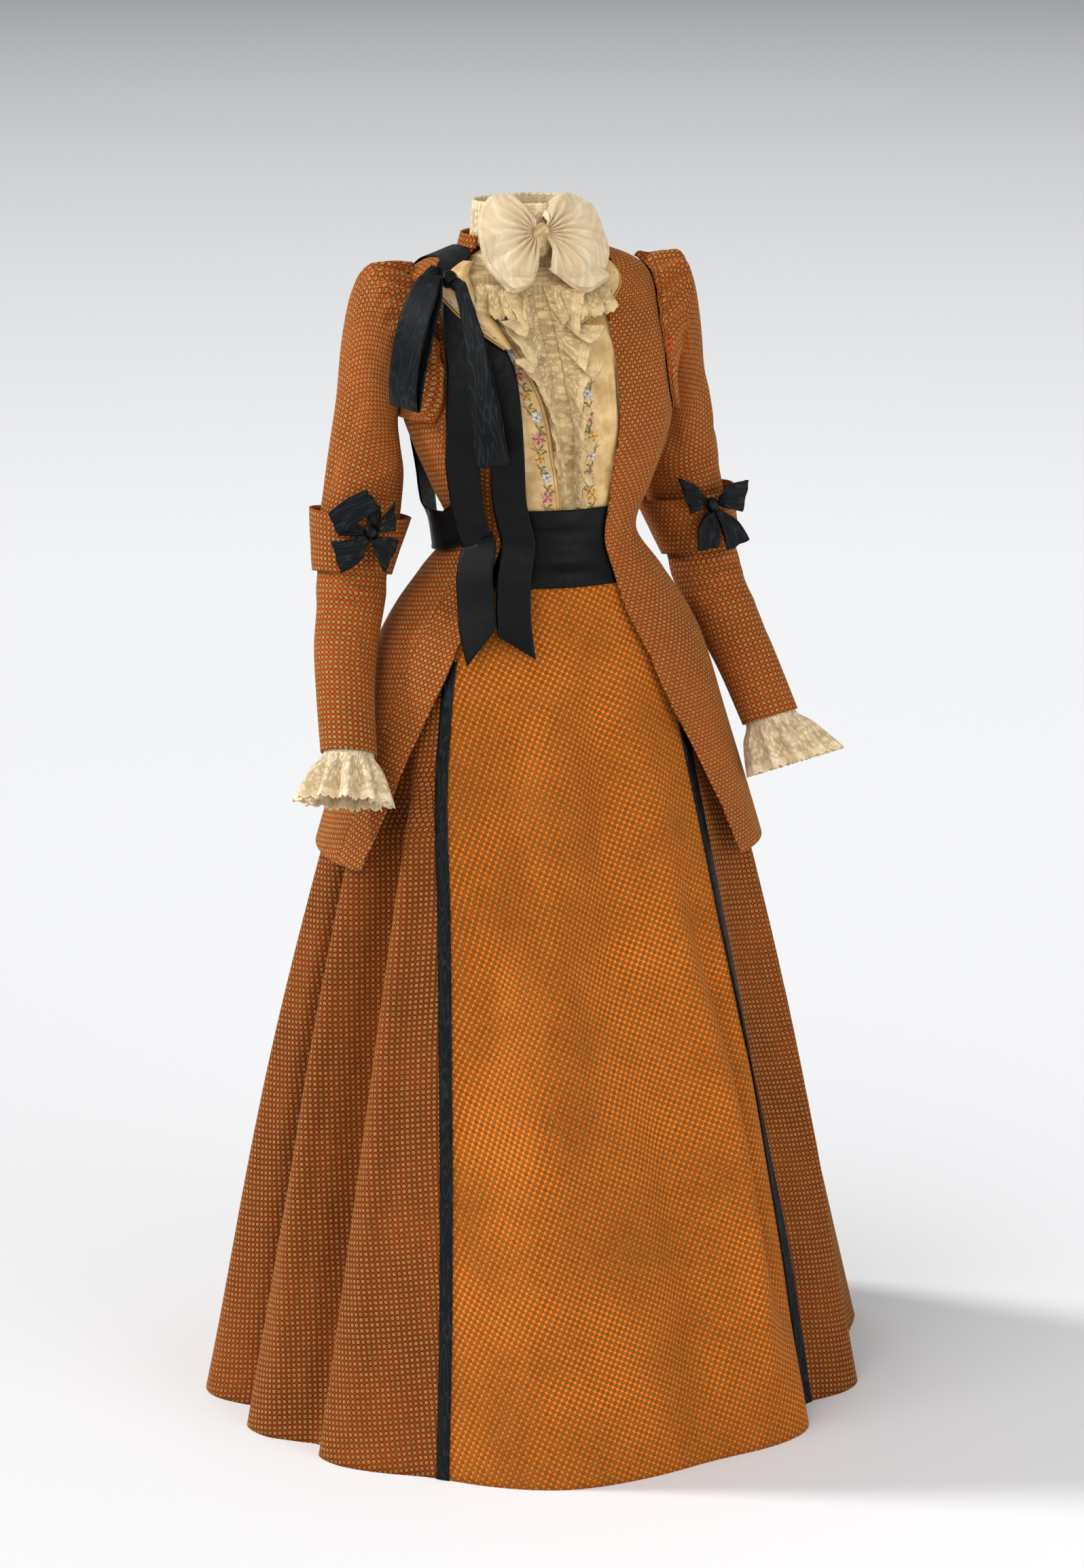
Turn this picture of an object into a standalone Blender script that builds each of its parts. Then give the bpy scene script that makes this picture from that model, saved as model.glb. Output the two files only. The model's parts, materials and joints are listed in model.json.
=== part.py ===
# Walking suit of about 1890 in its worn shape, held up by the wearer: a flared skirt, a cutaway jacket
# with elbow cuffs, an embroidered vest, lace at the neck and wrists, a sash and ribbons.
# Metres, +Z up. The wearer faces -Y and +X is the wearer's left. The origin is the middle of the waist.
import math

import bmesh
import bpy
import numpy as np

# Driving dimensions
VELVET = 0.0020  # wall of the dotted velvet
SILK = 0.0013  # wall of satin, ribbon and vest silk
LACE = 0.0010  # wall of lace
SEAM = 0.0004  # gap between pieces that are sewn together
FOLDED_SEAM = 0.0009  # half the gap of a skirt seam, which runs in the bottom of a fold
HEM = -1.000  # height of the skirt's hem
JACKET_HEM = -0.360  # height of the jacket's hem
NECK = 0.3085  # height where the lace collar meets the lace front
UNDERARM = 0.130  # height of the bottom of the armholes
SHOULDER = 0.286  # height of the top of the armholes
BAND_WIDTH = 0.016  # ribbon down each side of the skirt's front panel
BAND_LIFT = 0.0007  # gap between a ribbon and the cloth it is sewn on
LEFT, RIGHT = 1, -1  # the wearer's sides
SIDES = {LEFT: "left", RIGHT: "right"}


def table(columns, *rows):
    # Named columns of a short table, one row for each section
    return dict(zip(columns.split(), np.array(rows, float).T))


def along(stations, values, at):
    # Smooth curve through a table's column that never overshoots its rows
    step = np.diff(stations)
    slope = np.diff(values) / step
    turning = slope[:-1] * slope[1:] <= 0
    total = np.where(turning, 1.0, slope[:-1] + slope[1:])
    inner = np.where(turning, 0.0, 2 * slope[:-1] * slope[1:] / total)
    tangent = np.concatenate([slope[:1], inner, slope[-1:]])
    at = np.clip(at, stations[0], stations[-1])
    k = np.clip(np.searchsorted(stations, at, side="right") - 1, 0, len(step) - 1)
    t = (at - stations[k]) / step[k]
    start = values[k] * (1 + 2 * t) * (1 - t) ** 2 + step[k] * tangent[k] * t * (1 - t) ** 2
    end = values[k + 1] * t**2 * (3 - 2 * t) + step[k] * tangent[k + 1] * t**2 * (t - 1)
    return start + end


# The body form that the skirt and the vest lie on: half width, and depths before and behind its centre
FORM = table(
    "height half front back centre",
    (-1.000, 0.372, 0.345, 0.385, 0.000),
    (-0.890, 0.350, 0.318, 0.362, 0.000),
    (-0.730, 0.318, 0.280, 0.328, 0.000),
    (-0.570, 0.284, 0.240, 0.290, 0.000),
    (-0.375, 0.238, 0.190, 0.242, 0.000),
    (-0.220, 0.197, 0.150, 0.200, 0.000),
    (-0.130, 0.172, 0.127, 0.169, 0.000),
    (-0.090, 0.153, 0.115, 0.148, 0.000),
    (-0.050, 0.128, 0.102, 0.119, 0.000),
    (0.000, 0.098, 0.089, 0.082, 0.000),
    (0.050, 0.118, 0.100, 0.090, 0.003),
    (0.100, 0.138, 0.120, 0.100, 0.010),
    (0.130, 0.146, 0.129, 0.104, 0.018),
    (0.180, 0.150, 0.127, 0.100, 0.033),
    (0.225, 0.148, 0.111, 0.090, 0.045),
    (0.256, 0.143, 0.094, 0.079, 0.050),
    (0.278, 0.132, 0.080, 0.068, 0.052),
    (0.290, 0.114, 0.070, 0.061, 0.051),
    (0.300, 0.088, 0.061, 0.055, 0.049),
    (0.309, 0.066, 0.055, 0.052, 0.047),
    (0.320, 0.057, 0.052, 0.050, 0.046),
)

# How far the jacket stands outside the body form
EASE = table(
    "height ease",
    (-0.360, 0.0200),
    (-0.200, 0.0145),
    (-0.100, 0.0110),
    (-0.050, 0.0082),
    (0.000, 0.0066),
    (0.350, 0.0066),
)

# Standing folds of the skirt: angle and half width in degrees, and height at the hem
FOLDS = table(
    "angle width height",
    (-16.0, 12.0, 0.014),
    (13.0, 11.0, -0.012),
    (-40.0, 8.0, -0.010),
    (-57.0, 6.0, 0.002),
    (-69.0, 6.0, -0.022),
    (-82.0, 5.0, 0.004),
    (-91.0, 5.0, -0.030),
    (-103.0, 8.0, 0.016),
    (-121.0, 8.0, -0.026),
    (-139.0, 8.0, 0.024),
    (-157.0, 8.0, -0.024),
    (-176.0, 8.0, 0.026),
    (47.0, 8.0, -0.045),
    (77.0, 8.0, -0.045),
    (101.0, 11.0, 0.060),
    (124.0, 8.0, -0.028),
    (143.0, 8.0, 0.026),
    (163.0, 8.0, -0.026),
)
FOLD_TOP = -0.170  # height where the skirt's folds begin


def form(height, angle):
    # Point of the body form at a height and an angle round from the front centre, in degrees
    height, angle = np.broadcast_arrays(np.asarray(height, float), np.radians(angle))
    half, front, back, centre = (
        along(FORM["height"], FORM[name], height) for name in ("half", "front", "back", "centre")
    )
    depth = np.where(np.cos(angle) > 0, front, back)
    return np.stack([half * np.sin(angle), centre - depth * np.cos(angle), height], axis=-1)


def outward(point, distance):
    # The level direction from the form's axis to a point, times a distance
    centre = along(FORM["height"], FORM["centre"], point[..., 2])
    level = np.stack([point[..., 0], point[..., 1] - centre, np.zeros_like(centre)], axis=-1)
    return level / np.linalg.norm(level, axis=-1, keepdims=True) * np.asarray(distance)[..., None]


def skirt(height, angle):
    point = form(height, angle)
    height, angle = np.broadcast_arrays(np.asarray(height, float), np.asarray(angle, float))
    grown = np.clip((FOLD_TOP - height) / (FOLD_TOP - HEM), 0, 1)
    lift = np.zeros_like(grown)
    for place, width, rise in zip(FOLDS["angle"], FOLDS["width"], FOLDS["height"]):
        away = (angle - place + 180) % 360 - 180
        lift = lift + rise * np.exp(-((away / width) ** 2))
    return point + outward(point, lift * grown)


def jacket(height, angle):
    point = form(height, angle)
    return point + outward(point, along(EASE["height"], EASE["ease"], point[..., 2]))


def normal_to(shape, height, angle):
    # The direction square to a shape at its points
    small = 1e-4
    degree = 0.05
    up = shape(np.add(height, small), angle) - shape(np.subtract(height, small), angle)
    across = shape(height, np.add(angle, degree)) - shape(height, np.subtract(angle, degree))
    normal = np.cross(across, up)
    return normal / np.linalg.norm(normal, axis=-1, keepdims=True)


def moved(shape, distance):
    # The same surface moved along its outward normal
    return lambda height, angle: shape(height, angle) + normal_to(shape, height, angle) * distance


def material(name, colour, roughness):
    made = bpy.data.materials.new(name)
    made.use_nodes = True
    shader = made.node_tree.nodes["Principled BSDF"]
    shader.inputs["Base Color"].default_value = (*colour, 1)
    shader.inputs["Roughness"].default_value = roughness
    return made


def wall(name, points, thickness, finish, closed=False):
    # A cloth wall from rows of points. A closed one joins each row's last point to its first.
    points = np.asarray(points, float)
    rows, columns = points.shape[:2]
    made = bmesh.new()
    corner = [[made.verts.new(point) for point in row] for row in points]
    for i in range(rows - 1):
        for j in range(columns if closed else columns - 1):
            k = (j + 1) % columns
            made.faces.new((corner[i][j], corner[i][k], corner[i + 1][k], corner[i + 1][j]))
    mesh = bpy.data.meshes.new(name)
    made.to_mesh(mesh)
    made.free()
    mesh.shade_smooth()
    mesh.materials.append(finish)
    piece = bpy.data.objects.new(name, mesh)
    bpy.context.scene.collection.objects.link(piece)
    thick = piece.modifiers.new("cloth", "SOLIDIFY")
    thick.thickness = thickness
    thick.offset = 0
    return piece


def facing_out(points, side):
    # Rows laid out towards the wearer's right, turned so that the wall still faces out
    return points if side == LEFT else points[:, ::-1]


def trimmed(points, left=SEAM / 2, right=SEAM / 2):
    # Rows of points with their side edges drawn in, to leave the gap of a seam
    points = np.array(points, float)

    def drawn(edge, inner, distance):
        step = inner - edge
        return edge + step / np.linalg.norm(step, axis=-1, keepdims=True) * distance

    points[:, 0] = drawn(points[:, 0], points[:, 1], left)
    points[:, -1] = drawn(points[:, -1], points[:, -2], right)
    return points


def resting(points, shape, clearance):
    # Points pushed out where they come closer to a shape than a clearance
    points = np.array(points, float)
    centre = along(FORM["height"], FORM["centre"], points[..., 2])
    half, front, back = (
        along(FORM["height"], FORM[name], points[..., 2]) for name in ("half", "front", "back")
    )
    ahead = centre - points[..., 1]
    depth = np.where(ahead > 0, front, back)
    angle = np.degrees(np.arctan2(points[..., 0] / half, ahead / depth))
    small = 1e-3
    on = shape(points[..., 2], angle)
    above = shape(points[..., 2] + small, angle)
    level = np.hypot(on[..., 0], on[..., 1] - centre)
    rise = (np.hypot(above[..., 0], above[..., 1] - centre) - level) / small
    need = level + clearance * np.clip(np.hypot(rise, 1), 1, 2.5)
    have = np.hypot(points[..., 0], ahead)
    return points + outward(points, np.clip(need - have, 0, 0.05))


def panel(shape, heights, left, right, across):
    # Rows of points of a shape between two edge angles, which may change with height
    heights = np.asarray(heights, float)
    left = np.broadcast_to(left, heights.shape)
    right = np.broadcast_to(right, heights.shape)
    share = np.asarray(across, float)
    angles = left[:, None] + (right - left)[:, None] * share[None, :]
    return shape(heights[:, None], angles)


# The skirt: a front panel edged with ribbon, two side panels and a back panel
FRONT_SEAM = table(
    "height left right",
    (-1.00, 48.5, 37.0),
    (-0.86, 48.5, 37.5),
    (-0.68, 46.0, 39.0),
    (-0.54, 40.0, 41.0),
    (-0.40, 38.0, 44.0),
    (-0.23, 38.5, 50.0),
    (-0.10, 40.0, 52.0),
    (0.00, 42.0, 52.0),
)
SKIRT_HEIGHTS = np.array(
    [HEM, -0.9, -0.79, -0.68, -0.56, -0.44, -0.33, -0.22, -0.13, -0.09, -0.05, -0.025, -0.012, -0.0015]
)
BACK_SEAM = 130.0  # angle of the seams between the skirt's side and back panels
BAND_TOP = -0.13  # height where the ribbon bands run under the jacket


def front_seam(height, side):
    return side * along(FRONT_SEAM["height"], FRONT_SEAM["left" if side == LEFT else "right"], height)


def make_skirt(velvet, ribbon):
    heights = SKIRT_HEIGHTS
    edge = {side: front_seam(heights, side) for side in SIDES}
    reach = np.degrees(BAND_WIDTH / 2 / along(FORM["height"], FORM["half"], heights))
    inner = np.linspace(0, 1, 11)
    middle = (edge[RIGHT] + reach)[:, None] * (1 - inner) + (edge[LEFT] - reach)[:, None] * inner
    angles = np.column_stack([edge[RIGHT], middle, edge[LEFT]])
    front = skirt(heights[:, None], angles)
    wall("skirt_front", trimmed(front, FOLDED_SEAM, FOLDED_SEAM), VELVET, velvet)
    back = panel(skirt, heights, BACK_SEAM, 360 - BACK_SEAM, np.linspace(0, 1, 14))
    wall("skirt_back", trimmed(back), VELVET, velvet)
    over = moved(skirt, VELVET / 2 + BAND_LIFT + SILK / 2)
    for side, word in SIDES.items():
        inner = np.linspace(0, 1, 12)
        start = edge[side] + side * reach
        angles = start[:, None] * (1 - inner) + side * BACK_SEAM * inner
        rows = skirt(heights[:, None], np.column_stack([edge[side], angles]))
        ends = (FOLDED_SEAM, SEAM / 2)[::side]
        wall(f"skirt_side_{word}", trimmed(facing_out(rows, side), *ends), VELVET, velvet)
        shown = heights <= BAND_TOP
        span = np.stack([edge[side] - reach, edge[side], edge[side] + reach], axis=1)[shown]
        wall(f"skirt_band_{word}", over(heights[shown][:, None], span), SILK, ribbon)


# The jacket: two fronts, two side panels, two backs and a collar
JACKET_HEIGHTS = np.array(
    [JACKET_HEM, -0.30, -0.24, -0.18, -0.13, -0.09, -0.05, -0.025, 0.0, 0.03, 0.06, 0.10, 0.13]
    + [0.16, 0.19, 0.215, 0.236, 0.256, 0.272, 0.280, 0.289, 0.298, 0.306]
)
JACKET_FRONT = table(
    "height left right",
    (-0.360, 46.0, 70.5),
    (-0.300, 41.5, 65.5),
    (-0.240, 36.0, 61.0),
    (-0.180, 29.0, 54.5),
    (-0.130, 25.0, 49.0),
    (-0.070, 20.5, 46.0),
    (0.000, 22.5, 44.0),
    (0.090, 18.0, 40.0),
    (0.180, 19.8, 38.0),
    (0.236, 21.0, 40.0),
    (0.280, 34.0, 50.0),
    (0.306, 56.0, 66.0),
)
SIDE_SEAMS = table(
    "height front back",
    (-0.360, 83.0, 124.0),
    (-0.200, 74.0, 120.0),
    (-0.080, 66.0, 116.0),
    (0.000, 64.0, 116.0),
    (0.130, 64.0, 116.0),
)
ARMHOLE = table(
    "height front back",
    (0.130, 64.0, 116.0),
    (0.155, 57.0, 121.0),
    (0.180, 55.0, 123.0),
    (0.220, 57.0, 121.0),
    (0.256, 66.0, 112.0),
    (0.274, 79.0, 100.0),
    (0.280, 90.0, 90.0),
    (0.320, 90.0, 90.0),
)


def front_edge(height, side):
    return side * along(JACKET_FRONT["height"], JACKET_FRONT["left" if side == LEFT else "right"], height)


def jacket_edge(height, name):
    # Angle of a panel's outer edge: its seam below the armhole, then the armhole, then the shoulder
    height = np.asarray(height)
    seam = along(SIDE_SEAMS["height"], SIDE_SEAMS[name], height)
    return np.where(height <= UNDERARM, seam, along(ARMHOLE["height"], ARMHOLE[name], height))


def collar_row(height, angle, base, out):
    # Points of a neckband that stands on the neck's edge and draws in slightly as it rises
    point = form(base, angle) * (1, 1, 0) + np.array([0, 0, 1]) * np.asarray(height)[..., None]
    return point + outward(point, out)


def make_jacket(velvet):
    below = JACKET_HEIGHTS[JACKET_HEIGHTS <= UNDERARM]
    for side, word in SIDES.items():
        outer = side * jacket_edge(JACKET_HEIGHTS, "front")
        rows = panel(jacket, JACKET_HEIGHTS, front_edge(JACKET_HEIGHTS, side), outer, np.linspace(0, 1, 6))
        wall(f"jacket_front_{word}", trimmed(facing_out(rows, side)), VELVET, velvet)
        edges = [side * jacket_edge(below, name) for name in ("front", "back")]
        rows = panel(jacket, below, *edges, np.linspace(0, 1, 6))
        wall(f"jacket_side_{word}", trimmed(facing_out(rows, side)), VELVET, velvet)
        outer = side * jacket_edge(JACKET_HEIGHTS, "back")
        rows = panel(jacket, JACKET_HEIGHTS, outer, side * 180, np.linspace(0, 1, 7))
        wall(f"jacket_back_{word}", trimmed(facing_out(rows, side)), VELVET, velvet)
    angles = np.linspace(64, 296, 17)[None, :]
    top = JACKET_HEIGHTS[-1]
    heights = np.array([top + VELVET / 2 + SEAM, 0.320, 0.334])[:, None]
    lean = along(EASE["height"], EASE["ease"], top) - np.array([0.0, 0.0035, 0.0055])[:, None]
    rows = collar_row(heights + 0 * angles, angles + 0 * heights, top, lean + 0 * angles)
    wall("jacket_collar", rows, VELVET, velvet)


# The sleeves: rings from the armhole to the wrist, through the arm's inner and outer points, with the
# ring's place, its forward lean in degrees and its half size from front to back
SLEEVE = table(
    "inner inner_height outer outer_height y lean deep",
    (0.158, 0.136, 0.178, 0.290, 0.050, 0.0, 0.054),
    (0.158, 0.120, 0.194, 0.268, 0.055, 0.0, 0.055),
    (0.155, 0.104, 0.206, 0.215, 0.059, 0.0, 0.053),
    (0.150, 0.085, 0.214, 0.150, 0.061, 0.0, 0.050),
    (0.146, 0.060, 0.224, 0.092, 0.060, 0.0, 0.048),
    (0.150, 0.022, 0.234, 0.035, 0.057, 2.0, 0.047),
    (0.160, -0.020, 0.243, -0.010, 0.050, 6.0, 0.046),
    (0.169, -0.052, 0.249, -0.042, 0.042, 10.0, 0.044),
    (0.178, -0.085, 0.251, -0.074, 0.032, 14.0, 0.040),
    (0.194, -0.130, 0.262, -0.118, 0.010, 18.0, 0.037),
    (0.210, -0.180, 0.272, -0.168, -0.026, 20.0, 0.034),
    (0.221, -0.232, 0.281, -0.220, -0.065, 20.0, 0.032),
)
UPPER_RINGS = 8  # rows of the table that belong to the upper sleeve
ROUND_ARM = 16  # points round the upper sleeve
HEAD_LIFT = VELVET + SEAM * 2  # how far the sleeve's head stands off the jacket's armhole
HEAD_RISE = 0.006  # how far it stands out further on, where it is gathered
CUFF = table(
    "row ease",
    (5.25, 0.0130),
    (6.10, 0.0070),
    (7.00, 0.0029),
)


def sleeve_ring(side, row, count, ease=0.0):
    # Points round the arm from its inner side to the front, the outside and the back
    stations = np.arange(len(SLEEVE["y"]), dtype=float)
    value = {name: along(stations, column, row) for name, column in SLEEVE.items()}
    inner = np.array([value["inner"], value["y"], value["inner_height"]])
    outer = np.array([value["outer"], value["y"], value["outer_height"]])
    across = (outer - inner) / 2
    across *= 1 + ease / np.linalg.norm(across)
    lean = math.radians(value["lean"])
    behind = np.array([0.0, math.cos(lean), -math.sin(lean)]) * (value["deep"] + ease)
    turn = np.linspace(0, 2 * math.pi, count, endpoint=False)
    ring = (inner + outer) / 2 - np.outer(np.cos(turn), across) - np.outer(np.sin(turn), behind)
    return ring * np.array([side, 1, 1])


def armhole_loop(side, count, out):
    # The armhole's edge on the jacket, from the underarm up the front and down the back, moved out
    up = np.linspace(UNDERARM, SHOULDER, 60)
    front = np.stack([up, along(ARMHOLE["height"], ARMHOLE["front"], up)], axis=1)
    back = np.stack([up, along(ARMHOLE["height"], ARMHOLE["back"], up)], axis=1)[::-1]
    bottom = [float(jacket_edge(UNDERARM, name)) for name in ("back", "front")]
    under = np.stack([np.full(20, UNDERARM), np.linspace(*bottom, 20)], axis=1)
    loop = np.concatenate([under[10:], front[1:], back[1:], under[1:11]])
    points = moved(jacket, out)(loop[:, 0], side * loop[:, 1])
    run = np.concatenate([[0], np.cumsum(np.linalg.norm(np.diff(points, axis=0), axis=1))])
    at = np.linspace(0, run[-1], count, endpoint=False)
    return np.stack([np.interp(at, run, points[:, k]) for k in range(3)], axis=1)


def sleeve_tube(side, rows, count, eases):
    rings = np.array([sleeve_ring(side, row, count, ease) for row, ease in zip(rows, eases)])
    return facing_out(rings[::-1], side)


def make_sleeves(velvet, lace):
    count = len(SLEEVE["y"])
    for side, word in SIDES.items():
        rows = [armhole_loop(side, ROUND_ARM, HEAD_LIFT + rise) for rise in (0, HEAD_RISE)]
        rows += [sleeve_ring(side, row, ROUND_ARM) for row in range(UPPER_RINGS)]
        wall(f"sleeve_upper_{word}", facing_out(np.array(rows[::-1]), side), VELVET, velvet, closed=True)
        stations = [UPPER_RINGS - 1.5, UPPER_RINGS - 1, *range(UPPER_RINGS, count)]
        rows = sleeve_tube(side, stations, ROUND_ARM, [-HEAD_LIFT] * 2 + [0.0] * (count - UPPER_RINGS))
        wall(f"sleeve_lower_{word}", rows, VELVET, velvet, closed=True)
        rows = sleeve_tube(side, CUFF["row"], ROUND_ARM, CUFF["ease"])
        wall(f"cuff_{word}", rows, VELVET, velvet, closed=True)
        wall(f"cuff_frill_{word}", wrist_frill(side), LACE, lace, closed=True)


FRILL = table(
    "share spread wave",
    (0.00, 0.000, 0.0000),
    (0.17, 0.000, 0.0000),
    (0.45, 0.008, 0.0050),
    (0.75, 0.014, 0.0085),
    (1.00, 0.018, 0.0110),
)
FRILL_LENGTH = 0.072
FRILL_WAVES = 11
FRILL_HIDDEN = 0.17  # share of the frill's length inside the sleeve
FRILL_INSET = VELVET / 2 + LACE / 2 + SEAM * 3
FRILL_SWING = 0.010  # how far the frill leans away from the body


def wrist_frill(side):
    # A gathered lace ruffle: rings that follow the wrist inside the sleeve's end and flare out in waves
    count = FRILL_WAVES * 4
    last = len(SLEEVE["y"]) - 1
    ring = sleeve_ring(side, last, count, -FRILL_INSET)
    before = sleeve_ring(side, last - 1, count)
    centre = ring.mean(axis=0)
    axis = centre - before.mean(axis=0)
    axis /= np.linalg.norm(axis)
    radial = ring - centre
    radial /= np.linalg.norm(radial, axis=1, keepdims=True)
    turn = np.linspace(0, 2 * math.pi, count, endpoint=False)[:, None]
    away = np.array([side * FRILL_SWING, 0.0, 0.0])
    rows = []
    for share, spread, wave in zip(FRILL["share"], FRILL["spread"], FRILL["wave"]):
        along_arm = axis * (share - FRILL_HIDDEN) * FRILL_LENGTH
        swell = spread + wave * np.sin(FRILL_WAVES * turn)
        rows.append(ring + along_arm + radial * swell + away * max(share - FRILL_HIDDEN, 0))
    return facing_out(np.array(rows[::-1]), side)


# The vest with its lapels, and the pleated front under it
VEST_EDGE = table(
    "height left right",
    (0.000, 4.5, -7.2),
    (0.036, 3.7, -7.5),
    (0.068, 2.0, -9.5),
    (0.100, 0.5, -12.0),
    (0.155, 0.0, -14.7),
    (0.180, 0.5, -18.0),
    (0.215, 3.0, -24.0),
    (0.240, 9.0, -31.0),
    (0.262, 20.0, -41.0),
    (0.280, 28.0, -47.0),
    (0.306, 46.0, -60.0),
)
VEST_HEIGHTS = np.array([0.0015, 0.03, 0.06, 0.10, 0.13, 0.16, 0.19, 0.215, 0.236, 0.256, 0.270])
VEST_UNDER = 9.0  # how far the vest goes under the jacket's edge, in degrees
VEST_LIFT = 0.0001  # how far the vest lies outside the body form
VEST_TACK = 0.0040  # how far the vest's hidden edge rises towards the inside of the jacket
LAPEL_LIFT = VELVET / 2 + SEAM + 0.0003 + SILK / 2  # how far the lapels lie outside the jacket
CHEMISETTE_DEPTH = -0.0021  # how far the pleated front lies inside the vest
CHEMISETTE_UNDER = 7.0  # how far it goes under the vest's edges, in degrees
COLLAR_TOP = 0.357
COLLAR_LEAN = 0.08  # how much the lace collar draws in for each metre that it rises
LAPEL = {
    LEFT: table(
        "height inner outer",
        (0.232, 6.5, 8.0),
        (0.243, 9.0, 17.0),
        (0.256, 14.0, 26.0),
        (0.272, 21.0, 34.0),
        (0.282, 26.5, 36.0),
        (0.292, 33.0, 38.0),
    ),
    RIGHT: table(
        "height inner outer",
        (0.210, -23.5, -25.0),
        (0.232, -27.5, -36.0),
        (0.252, -32.5, -45.0),
        (0.270, -37.5, -51.0),
        (0.282, -41.0, -50.0),
        (0.296, -45.5, -50.5),
    ),
}


def make_vest(silk, lace):
    vest = moved(form, VEST_LIFT)
    over = moved(jacket, LAPEL_LIFT)
    for side, word in SIDES.items():
        inner = along(VEST_EDGE["height"], VEST_EDGE[word], VEST_HEIGHTS)
        outer = front_edge(VEST_HEIGHTS, side) + side * VEST_UNDER
        rows = panel(vest, VEST_HEIGHTS, inner, outer, np.linspace(0, 1, 6))
        tacked = np.where(VEST_HEIGHTS > SASH["height"][-1] + 0.01, VEST_TACK, 0)
        rows[:, -1] += outward(rows[:, -1], tacked)
        wall(f"vest_front_{word}", trimmed(facing_out(rows, side)), SILK, silk)
        lapel = LAPEL[side]
        rows = panel(over, lapel["height"], lapel["inner"], lapel["outer"], np.linspace(0, 1, 4))
        wall(f"lapel_{word}", facing_out(rows, side), SILK, silk)
    heights = np.append(VEST_HEIGHTS, (0.280, 0.290, 0.298, 0.306))
    left = along(VEST_EDGE["height"], VEST_EDGE["left"], heights) + CHEMISETTE_UNDER
    right = along(VEST_EDGE["height"], VEST_EDGE["right"], heights) - CHEMISETTE_UNDER
    across = np.linspace(0, 1, 7)
    rows = panel(moved(form, CHEMISETTE_DEPTH), heights, right, left, across)
    angles = right[-1] + (left - right)[-1] * across
    top = collar_row(NECK - SEAM, angles, NECK, CHEMISETTE_DEPTH + 0 * across)
    wall("chemisette", np.concatenate([rows, top[None]]), LACE, lace)
    angles = np.linspace(0, 360, 18, endpoint=False)[None, :]
    heights = np.array([NECK, 0.330, COLLAR_TOP])[:, None]
    lean = CHEMISETTE_DEPTH - COLLAR_LEAN * (heights - heights[0])
    rows = collar_row(heights + 0 * angles, angles + 0 * heights, NECK, lean + 0 * angles)
    wall("neck_collar", rows, LACE, lace, closed=True)


# The sash: a soft band whose folds stand out between the jacket's edges
SASH = table(
    "height ridge",
    (-0.052, 0.0000),
    (-0.039, 0.0030),
    (-0.024, 0.0004),
    (-0.009, 0.0024),
    (0.006, 0.0002),
    (0.020, 0.0028),
    (0.034, 0.0000),
)
SASH_WALL = 0.9 * SILK
SASH_MIDDLE = -11.0  # angle of the middle of the jacket's opening at the waist
SASH_REACH = 22.0  # how far round from there its folds show, in degrees
SASH_LIFT = 0.0031  # how far the sash lies outside the skirt's top and the vest


def make_sash(satin):
    angles = np.linspace(-180, 180, 30, endpoint=False)
    open_front = np.exp(-(((angles - SASH_MIDDLE) / SASH_REACH) ** 4))
    rows = moved(form, SASH_LIFT)(SASH["height"][:, None], angles[None, :])
    rows = rows + outward(rows, SASH["ridge"][:, None] * open_front[None, :])
    wall("sash", rows, SASH_WALL, satin, closed=True)


# Lace at the neck: a bow of two fans, and a jabot that falls in folds from its knot
NECK_KNOT = np.array([0.0085, 0.0060, 0.0125])
NECK_KNOT_HEIGHT = 0.324
NECK_KNOT_ANGLE = -8.0
NECK_KNOT_LIFT = 0.0052  # how far the knot's middle stands before the collar
FAN_SPREAD = 54.0  # half the angle of one side of the bow
FAN_HEART = 0.007  # distance from the hub to where the lace begins
FAN_SIZE = 0.066
FAN_WAVES = 4
FAN_DEPTH = 0.005  # height of the waves at the rim
FAN_ARCH = 0.018  # how far the fan bows forward
FAN_CLEAR = 0.021  # how far it keeps off the jacket, low down


def lace_fan(hub, inward, outward_way):
    # A fan of gathered lace in the plane of two directions, with waves that grow towards its rim
    inward, outward_way = (np.array(way) / np.linalg.norm(way) for way in (inward, outward_way))
    front = np.cross(outward_way, inward)
    front /= np.linalg.norm(front)
    turn = np.linspace(-1, 1, FAN_WAVES * 4 + 1)
    rows = []
    for share in (0.0, 0.35, 0.7, 1.0):
        angle = np.radians(FAN_SPREAD) * turn
        radius = FAN_HEART + (FAN_SIZE - FAN_HEART) * share * (1 - 0.12 * turn**2)
        place = hub + np.outer(np.cos(angle) * radius, outward_way) + np.outer(np.sin(angle) * radius, inward)
        waves = FAN_DEPTH * share * np.cos(FAN_WAVES * math.pi * turn)
        arch = FAN_ARCH * np.sin(math.pi * share * 0.8)
        rows.append(place + np.outer(waves + arch, front))
    rows = np.array(rows)
    rising = np.clip((rows[..., 2] - 0.282) / 0.03, 0, 1)
    return resting(rows, jacket, FAN_CLEAR - 0.045 * rising)


JABOT = {
    LEFT: table(
        "height middle reach",
        (0.038, -2.0, 0.010),
        (0.090, -3.0, 0.020),
        (0.140, -4.0, 0.026),
        (0.180, -5.0, 0.034),
        (0.210, -5.0, 0.044),
        (0.240, -5.0, 0.050),
        (0.272, -6.0, 0.034),
    ),
    RIGHT: table(
        "height middle reach",
        (0.075, -7.0, 0.012),
        (0.110, -8.0, 0.020),
        (0.150, -8.0, 0.026),
        (0.180, -8.0, 0.036),
        (0.210, -8.5, 0.046),
        (0.240, -9.0, 0.048),
        (0.272, -9.0, 0.034),
    ),
}
JABOT_FOLDS = 8
JABOT_ROOT = -0.0004  # how far the jabot's gathered line lies outside the body form
JABOT_SWING = 0.008  # how far its folds swing out, and how far they drop
JABOT_CLEAR = 0.016  # how far the free edge keeps off the vest


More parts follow.
